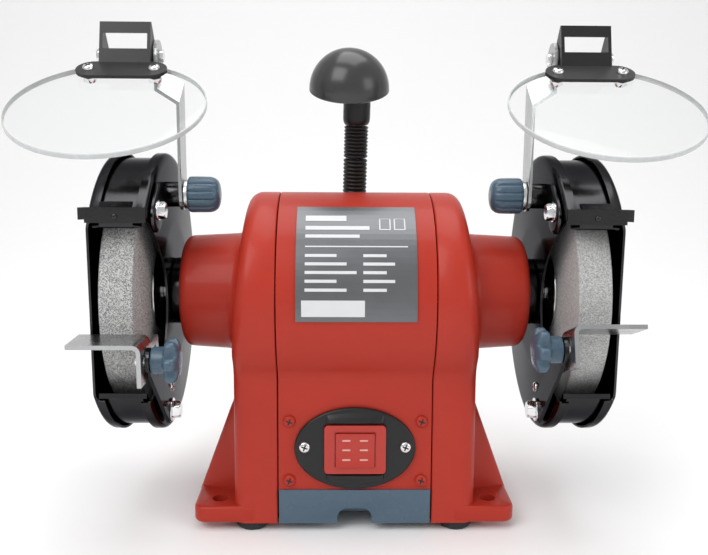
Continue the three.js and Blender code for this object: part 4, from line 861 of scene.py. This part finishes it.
class GRINDER_OT_guards(BuildPiece, bpy.types.Operator):
    """Guard covers, bands, embossed bosses and the bolts that hold them"""

    bl_idname = "grinder.guards"
    bl_label = "Guards"

    def make(self):
        for side, sign in SIDES.items():
            self.inner(side, sign)
            self.outer(side, sign)
            self.band(side, sign)
            self.bolts(side, sign)

    def inner(self, side, sign):
        """Shallow cone with a notch at the front, and the bosses on it."""
        mid = COVER_FACE + GUARD_SHEET / 2
        corner = soften([[44, mid], [86.8, RIM_FACE + GUARD_SHEET / 2], [GUARD_RADIUS - 0.7, RIM_FACE + 1.6],
                         [GUARD_RADIUS - 0.7, RIM_FACE + 7]], 3.2, 6)
        apex = 27.5
        spread = apex + (43.5 - apex) * np.linspace(0, 1, 12) ** 2
        near = np.concatenate([np.linspace(9.5, apex - 0.3, 5), spread])
        near = np.column_stack([near, np.full(len(near), mid)])
        cone = np.linspace(corner[0], corner[1], 14)[1:-1]
        profile = np.concatenate([near, corner[:1], cone, corner[1:]])
        cover = Piece(f"cover_inner_{side}").grid(open_disc(profile, notch_angles, sign))
        cover.build("housing", [guard_enamel()], "black_guard", [f"guard_inner_cover_{side}"],
                    thickness=GUARD_SHEET)
        boss = Piece(f"cover_bosses_{side}")
        turn = np.linspace(0, 2 * math.pi, 64, endpoint=False)
        point = np.maximum(np.sin(turn), 0) ** 2.2
        outline = np.stack([12.5 * np.cos(turn) * (1 - 0.5 * point) + 9 * point,
                            11.5 * np.sin(turn) + 7 * point], 1)
        basis = ((0, 1, 0), (0, 0, 1), (-sign, 0, 0))
        seat = (sign * (RIM_FACE + 0.2), -52, 203)
        boss.grid(slab(outline, basis, seat, 0, 3.4, 2.2, 6), wrap_columns=True)
        lug = soften([[0, 111.4], [8, 111.4], [8, 121.4], [0, 121.4]], 0.8)
        boss.grid(turned(lug * [1, sign], (0, -18, 212), (1, 0, 0), 40), wrap_columns=True)
        boss.build("housing", [guard_enamel()], "black_guard", sharp=60)

    def outer(self, side, sign):
        """Flat cover with a raised cap over the spindle nut."""
        mid = OUTER_FACE - GUARD_SHEET / 2
        cap = CAP_REACH - GUARD_SHEET / 2
        path = [[0, cap], [30.5, cap], [36.5, mid + 0.2], [44, mid], [GUARD_RADIUS - 0.7, mid],
                [GUARD_RADIUS - 0.7, OUTER_FACE - 7]]
        rounded = soften(path, 3.4, 6)
        flat, turn = rounded[-9], rounded[-8]
        reach = GUARD_FRONT + (turn[0] - GUARD_FRONT) * np.linspace(0, 1, 18)[:-1] ** 2
        wide = np.concatenate([np.linspace(flat[0], GUARD_FRONT - 0.4, 5)[1:], reach])
        wide = np.column_stack([wide, np.full(len(wide), mid)])
        profile = np.concatenate([rounded[:-8], wide, rounded[-8:]])
        cover = Piece(f"cover_outer_{side}").grid(open_disc(profile, front_angles, sign))
        cover.build("housing", [guard_enamel()], "black_guard", [f"guard_outer_cover_{side}"],
                    thickness=GUARD_SHEET)

    def band(self, side, sign):
        """Path with a tab up at its front end, the arc and a lip below, swept across x."""
        radius = 87.2
        front = GUARD_FRONT - 0.8
        start = math.acos(front / radius)
        angle = np.linspace(start + 0.02, 2 * math.pi - start - 0.02, 130)
        arc = np.stack([-radius * np.cos(angle), radius * np.sin(angle)], 1)
        high, low = radius * math.sin(start), -radius * math.sin(start)
        path = np.concatenate([[[-front, 54.5], [-front, high + 2]], arc, [[-front + 0.4, low - 1.2],
                                                                          [-front - 0.1, low - 3.6]]])
        x = sign * np.array([125.0, 126.0, 139.0, 152.4, 153.4])
        points = np.stack(np.broadcast_arrays(x[None, :], path[:, :1], AXIS_Z + path[:, 1:]), -1).copy()
        points[0, :, 0] = points[1, :, 0] = sign * np.clip(np.abs(points[0, :, 0]), 129.6, 149.0)
        band = Piece(f"band_{side}").grid(points)
        band.build("housing", [guard_enamel()], "black_guard", [f"guard_band_{side}"],
                   thickness=GUARD_SHEET)

    def bolts(self, side, sign):
        bolts = Piece(f"guard_bolts_{side}")
        inward = (-sign, 0, 0)
        hex_head(bolts, (sign * 118.9, -54.5, 205), inward, 9, 4.0, 6.0)
        hex_head(bolts, (sign * 117.9, -35, 75), inward, 10, 5, 7.5)
        screw(bolts, np.array([sign * 120.6, -21, 86.0]), inward, 3.2, 2.0)
        for turn in np.radians([20, 140, 260]):
            seat = np.array([sign * OUTER_FACE, 79 * math.cos(turn), AXIS_Z + 79 * math.sin(turn)])
            screw(bolts, seat, (sign, 0, 0), 3.4, 1.9)
        bolts.build("housing", [chrome(), painted_slot_shade()], "turned_steel")
        front = (0, -1, 0)
        painted = Piece(f"arrester_screws_{side}")
        screw(painted, np.array([sign * 139.5, -74.8, 203.2]), front, 1.8, 1.1)
        painted.build(f"arrester_{side}", [guard_enamel(), painted_slot_shade()], "black_guard")


class GRINDER_OT_wheels(BuildPiece, bpy.types.Operator):
    """Grinding wheels with their clamping flanges and spindle nuts"""

    bl_idname = "grinder.wheels"
    bl_label = "Wheels"

    def make(self):
        stones = {
            "left": stone("coarse_stone", colours().coarse_stone, sizes().coarse_grit, 0.55),
            "right": stone("fine_stone", colours().fine_stone, sizes().fine_grit, 0.38),
        }
        near, far = WHEEL_LOW[0], WHEEL_HIGH[0]
        centre = (0, 0, AXIS_Z)
        for side, sign in SIDES.items():
            r = WHEEL_RADIUS
            profile = soften([[6.7, near], [r, near], [r, far], [6.7, far], [6.7, near]], 1.1)
            wheel = Piece(f"wheel_{side}")
            wheel.grid(turned(profile * [1, sign], centre, count=160), wrap_columns=True)
            wheel.build("rotor", [stones[side]], "coarse_stone" if sign < 0 else "fine_stone",
                        [f"grinding_wheel_{side}"])
            trim = Piece(f"wheel_flanges_{side}")
            for face, away in ((near - 0.3, -1), (far + 0.3, 1)):
                cup = [[6.7, 1], [20.5, 1], [21.5, 0], [26, 0], [26, 1.6], [23, 2.5], [16, 3.6],
                       [6.7, 3.6], [6.7, 1]]
                cup = soften(cup, 0.7) * [1, away] + [0, face]
                trim.grid(turned(cup * [1, sign], centre, count=80), wrap_columns=True)
            nut_face = far + 4.3
            hex_head(trim, (sign * nut_face, 0, AXIS_Z), (sign, 0, 0), 18.6, 7)
            trim.build("rotor", [bright_steel()], "turned_steel",
                       [f"inner_flange_{side}", f"outer_flange_{side}", f"spindle_nut_{side}"])


class GRINDER_OT_knobs(BuildPiece, bpy.types.Operator):
    """Star knobs on the tool rests and fluted knobs on the shield arms"""

    bl_idname = "grinder.knobs"
    bl_label = "Knobs"

    def make(self):
        for side, sign in SIDES.items():
            for draw, knob in ((self.star, "rest_knob"), (self.barrel, "shield_knob")):
                _, y, z = middle(f"{knob}_{side}") - [0, AXIS_Y, 0]
                draw(side, sign, y, z)

    def star(self, side, sign, y, z):
        """Radius r(a) = r0 + 2.3 cos 6a - 0.5 cos 12a over the head, plain round over the hub."""
        def lobes(radius, angle):
            outer = np.clip((radius - 8.2) / 4, 0, 1)
            return radius + outer * (2.3 * np.cos(6 * angle) - 0.5 * np.cos(12 * angle))

        profile = soften([[0, 101.0], [6, 101.2], [10.2, 102.2], [11.7, 104.0], [11.7, 108.0], [10.6, 109.4],
                          [8.1, 109.8], [8.0, 117.4], [0, 117.4]], 1.2)
        knob = Piece(f"star_knob_{side}")
        knob.grid(turned(profile * [1, sign], (0, y, z), count=96, radius_of=lobes), wrap_columns=True)
        stud = soften([[0, 117], [3, 117], [3, 127.0], [0, 127.0]], 0.5)
        knob.grid(turned(stud * [1, sign], (0, y, z), count=24), wrap_columns=True, slot=1)
        knob.build(f"rest_clamp_{side}", [blue_plastic(), bright_steel()], "knob_plastic",
                   [f"rest_knob_{side}"])

    def barrel(self, side, sign, y, z):
        """Radius r(a) = r0 - d (1 - |cos 6a|)^2: shallow flutes, fading out over the domed end."""
        def flutes(radius, angle):
            depth = 1.04 * np.clip((radius - 9.2) / 1.8, 0, 1)
            return radius - depth * (1 - np.abs(np.cos(6 * angle))) ** 2

        profile = soften([[0, 85.9], [5, 86.0], [9.2, 87.4], [11.2, 91.0], [11.4, 97], [11.4, 104.8],
                          [10.6, 106.2], [0, 106.2]], 2.0, 6)
        knob = Piece(f"barrel_knob_{side}")
        knob.grid(turned(profile * [1, sign], (0, y, z), count=120, radius_of=flutes), wrap_columns=True)
        washer = soften([[0, 106], [9.4, 106], [9.4, 108.5], [0, 108.5]], 0.4)
        knob.grid(turned(washer * [1, sign], (0, y, z), count=40), wrap_columns=True, slot=1)
        stud = [[0, 108], [3.2, 108], [3.2, 119], [0, 119]]
        knob.grid(turned(np.array(stud) * [1, sign], (0, y, z), count=24), wrap_columns=True, slot=1)
        knob.build(f"shield_clamp_{side}", [blue_plastic(), bright_steel()], "knob_plastic",
                   [f"shield_knob_{side}"])


class GRINDER_OT_shields(BuildPiece, bpy.types.Operator):
    """Clear eye shields with their clamp bolts and pivot bolts"""

    bl_idname = "grinder.shields"
    bl_label = "Eye shields"

    def make(self):
        tilt = math.radians(28)
        along = np.array([0, math.cos(tilt), math.sin(tilt)])
        normal = np.array([0, -math.sin(tilt), math.cos(tilt)])
        pivots = joint_places()
        for side, sign in SIDES.items():
            low, high = (corner - [0, AXIS_Y, 0] for corner in corners(f"eye_shield_{side}"))
            centre = (low + high) / 2
            radius = (high[0] - low[0]) / 2
            half = 1.5
            profile = soften([[0, -half], [radius, -half], [radius, half], [0, half]], 0.7)
            lens = Piece(f"lens_{side}_skin")
            lens.grid(turned(profile[:2], centre, normal, 128), wrap_columns=True)
            lens.grid(turned(profile[-2:], centre, normal, 128), wrap_columns=True)
            lens.grid(turned(profile[1:-1], centre, normal, 128), wrap_columns=True, slot=1)
            lens.build(f"lens_{side}", [clear_plastic(), sawn_edge()], "clear_lens", [f"eye_shield_{side}"])
            bolts = Piece(f"clamp_bolts_{side}")
            for a in (-19.6, 19.6):
                hole = centre + [a, 0, 0] + along * 44
                screw(bolts, hole + normal * 3.8, normal, 3.6, 2.4)
                hex_head(bolts, hole - normal * 1.6, -normal, 7, 3)
            pivot = pivots[f"lens_{side}_tilt"]
            rod = np.array([[0, -18.5], [2.8, -18.5], [2.8, 19], [0, 19]])
            bolts.grid(turned(rod, pivot, (sign, 0, 0), 24), wrap_columns=True)
            hex_head(bolts, pivot + [sign * 15.6, 0, 0], (sign, 0, 0), 8, 3.6, 5.4)
            hex_head(bolts, pivot - [sign * 18.4, 0, 0], (-sign, 0, 0), 7, 2.4)
            bolts.build(f"lens_{side}", [chrome(), painted_slot_shade()], "turned_steel")


class GRINDER_OT_lamp(BuildPiece, bpy.types.Operator):
    """Ribbed gooseneck, smooth sleeve and domed shade"""

    bl_idname = "grinder.lamp"
    bl_label = "Work lamp"

    def make(self):
        joints = joint_places()
        low, mid, top = (joints[n] for n in ("lamp_lower_bend", "lamp_upper_bend", "lamp_shade_tilt"))
        rise = (top - low) / np.linalg.norm(top - low)
        socket = Piece("lamp_collar")
        path = soften([[0, 172], [12.6, 172], [12.6, 194], [11.8, 198.5], [9, 201], [0, 201]], 1.6)
        socket.grid(turned(path, (low[0], low[1], 0), (0, 0, 1), 64), wrap_columns=True)
        self.ribs(socket, low - rise * 14, rise, 13.6)
        obj = socket.build("housing", [black_plastic()], "black_plastic", ["lamp_socket"], sharp=60)
        seat = Piece("seat").grid(turned([[0, -40], [ARCH_RADIUS - 1, -40], [ARCH_RADIUS - 1, 40], [0, 40]],
                                         (0, 0, AXIS_Z), count=128), wrap_columns=True)
        drill(obj, seat.build("housing", [black_plastic()], "black_plastic"))
        for name, start, end, body in (("neck_lower", low, mid, "lamp_lower"),
                                       ("neck_upper", mid, top, "lamp_upper")):
            length = np.linalg.norm(end - start)
            neck = Piece(f"lamp_{name}_skin")
            self.ribs(neck, start + rise * 0.4, rise, length - 0.8)
            neck.build(body, [black_plastic()], "black_plastic", [f"lamp_{name}"])
        self.head(top, rise)

    def ribs(self, piece, start, rise, length):
        """Bellows r(s) = r0 - d (1 - |sin(pi s / pitch)|) with rounded ends."""
        pitch = length / round(length / sizes().neck_pitch)
        s = np.linspace(0, length, int(length / pitch) * 10 + 1)
        radius = 8.4 - 0.95 * (1 - np.abs(np.sin(math.pi * s / pitch)))
        edge = np.minimum(s, length - s)
        radius = radius * np.sqrt(np.clip(1 - (1 - np.clip((edge + 0.9) / 1.5, 0, 1)) ** 2, 0, 1))
        profile = np.column_stack([radius, s])
        profile = np.concatenate([[[0, 0]], profile, [[0, length]]])
        piece.grid(turned(profile, start, rise, 56), wrap_columns=True)

    def head(self, top, rise):
        """Sleeve swept along a bend, and the half-ball shade with a rolled rim."""
        head = Piece("lamp_head_skin")
        tilt = math.radians(23)
        apex = np.array([0, -math.sin(tilt), math.cos(tilt)])
        centre = np.array([-4.0, 12.0, 280.0])
        bend = top + rise * 27
        forward = np.array([rise[0], rise[1] * math.cos(0.61) - rise[2] * math.sin(0.61),
                            rise[1] * math.sin(0.61) + rise[2] * math.cos(0.61)])
        path = soften([top + rise * 0.4, bend, bend + forward * 16], 12, 14)
        path = np.concatenate([np.linspace(path[0], path[1], 12)[:-1], path[1:]])
        tangent = np.gradient(path, axis=0)
        tangent /= np.linalg.norm(tangent, axis=1)[:, None]
        side = np.array([1.0, 0, 0])
        across = np.cross(tangent, side)
        across /= np.linalg.norm(across, axis=1)[:, None]
        angle = np.linspace(0, 2 * math.pi, 48, endpoint=False)
        radius = np.full(len(path), 9.4)
        radius[:3] = [8.0, 9.0, 9.3]
        ring = np.cos(angle)[None, :, None] * side + np.sin(angle)[None, :, None] * across[:, None, :]
        tube = path[:, None, :] + radius[:, None, None] * ring
        foot = np.repeat(path[:1][:, None, :], len(angle), 1)
        head.grid(np.concatenate([foot, tube]), wrap_columns=True)
        outer, inner = 26.4, 24.8
        turn = np.radians(np.linspace(90, 0, 28))
        outside = np.column_stack([outer * np.cos(turn), outer * np.sin(turn)])
        rim = [[outer + 0.05, -0.1], [outer - 0.3, -0.4], [inner + 0.3, -0.4], [inner, 0]]
        inside = np.column_stack([inner * np.cos(turn[::-1]), inner * np.sin(turn[::-1])])
        bowl = np.concatenate([outside, rim, inside])
        head.grid(turned(bowl, centre, apex, 96), wrap_columns=True, slot=1)
        head.build("lamp_head", [black_plastic(), lamp_plastic()], "lamp_plastic", ["lamp_shade"], sharp=50)


class GRINDER_OT_gland(BuildPiece, bpy.types.Operator):
    """Cable gland on the back wall"""

    bl_idname = "grinder.gland"
    bl_label = "Cable gland"

    def make(self):
        x, _, z = middle("cable_gland")
        wall = wall_depth(z)
        profile = soften([[0, wall - 4], [6, wall - 4], [6, wall], [9.4, wall + 0.9], [9.4, wall + 5],
                          [7, wall + 7], [5.6, wall + 14.5], [3.5, wall + 15], [3.4, wall + 9],
                          [0, wall + 9]], 0.8)

        def ribs(radius, angle):
            return radius + np.where(radius > 9, 0.25 * np.cos(18 * angle), 0)

        gland = Piece("gland_skin").grid(turned(profile, (x, 0, z), (0, 1, 0), 72, ribs), wrap_columns=True)
        gland.build("housing", [black_plastic()], "black_plastic", ["cable_gland"])


class GRINDER_OT_cad(BuildPiece, bpy.types.Operator):
    """Finishes and soft edges on the CAD parts that stay in view"""

    bl_idname = "grinder.cad_parts"
    bl_label = "CAD parts"

    def make(self):
        winding = finish("copper_winding", (0.42, 0.16, 0.07), 0.35, metallic=0.7, spread=0.2,
                         bumps=600, bump=0.3)
        lamination = finish("steel_lamination", (0.20, 0.20, 0.21), 0.5, metallic=0.8, spread=0.1,
                            bumps=900, bump=0.2, stretch=(3, 0.2, 0.2))
        plate = finish("printed_foil", (0.145, 0.15, 0.157), 0.34, metallic=0.75, spread=0.08,
                       bumps=1500, bump=0.02)
        diffuser = finish("frosted_diffuser", (0.80, 0.79, 0.74), 0.5, spread=0.03, bumps=700, bump=0.1)
        groups = [
            (["water_tray"], blue_plastic(), 1.0),
            (["base_plate"], sheet_zinc(), 0.3),
            (["rating_plate"], plate, 0.2),
            (["switch_frame", "switch_rocker"], red_plastic(), 0.8),
            (["switch_body", "capacitor"], black_plastic(), 0.5),
            (["stator"], winding, 0.6),
            (["rotor_core"], lamination, 0.4),
            (["shaft", "bearing_left", "bearing_right"], bright_steel(), 0.3),
            (["lamp_lens"], diffuser, 0.4),
        ]
        for side in SIDES:
            groups += [
                ([f"rubber_foot_front_{side}", f"rubber_foot_back_{side}"], rubber(), 0.5),
                ([f"tool_rest_{side}", f"shield_arm_{side}"], strip_steel(), sizes().corner),
                ([f"rest_bracket_{side}", f"spark_arrester_{side}"], guard_enamel(), sizes().corner),
                ([f"lens_bracket_{side}"], black_plastic(), sizes().corner),
            ]
        for names, look, width in groups:
            for name in names:
                node = frame["nodes"][name]
                for slot in node.material_slots:
                    slot.material = look
                soft_edges(node, width)


class GRINDER_PT_panel(bpy.types.Panel):
    """Lists the grinder's settings and build steps"""

    bl_idname = "GRINDER_PT_panel"
    bl_label = "Bench Grinder"
    bl_space_type = "VIEW_3D"
    bl_region_type = "UI"
    bl_category = "Grinder"

    def draw(self, context):
        for settings in (context.scene.grinder_colours, context.scene.grinder_sizes):
            for key in settings.bl_rna.properties.keys():
                if key not in ("rna_type", "name"):
                    self.layout.prop(settings, key)
        for operator in OPERATORS:
            self.layout.operator(operator.bl_idname)


OPERATORS = [GRINDER_OT_stage, GRINDER_OT_housing, GRINDER_OT_switch, GRINDER_OT_label, GRINDER_OT_guards,
             GRINDER_OT_wheels, GRINDER_OT_knobs, GRINDER_OT_shields, GRINDER_OT_lamp, GRINDER_OT_gland,
             GRINDER_OT_cad]
CLASSES = [GrinderColours, GrinderSizes, *OPERATORS, GRINDER_PT_panel]


def register():
    for cls in CLASSES:
        bpy.utils.register_class(cls)
    bpy.types.Scene.grinder_colours = bpy.props.PointerProperty(type=GrinderColours)
    bpy.types.Scene.grinder_sizes = bpy.props.PointerProperty(type=GrinderSizes)


def unregister():
    del bpy.types.Scene.grinder_sizes
    del bpy.types.Scene.grinder_colours
    for cls in reversed(CLASSES):
        bpy.utils.unregister_class(cls)


def main():
    register()
    for operator in OPERATORS:
        group, name = operator.bl_idname.split(".")
        getattr(getattr(bpy.ops, group), name)()


if __name__ == "__main__":
    main()
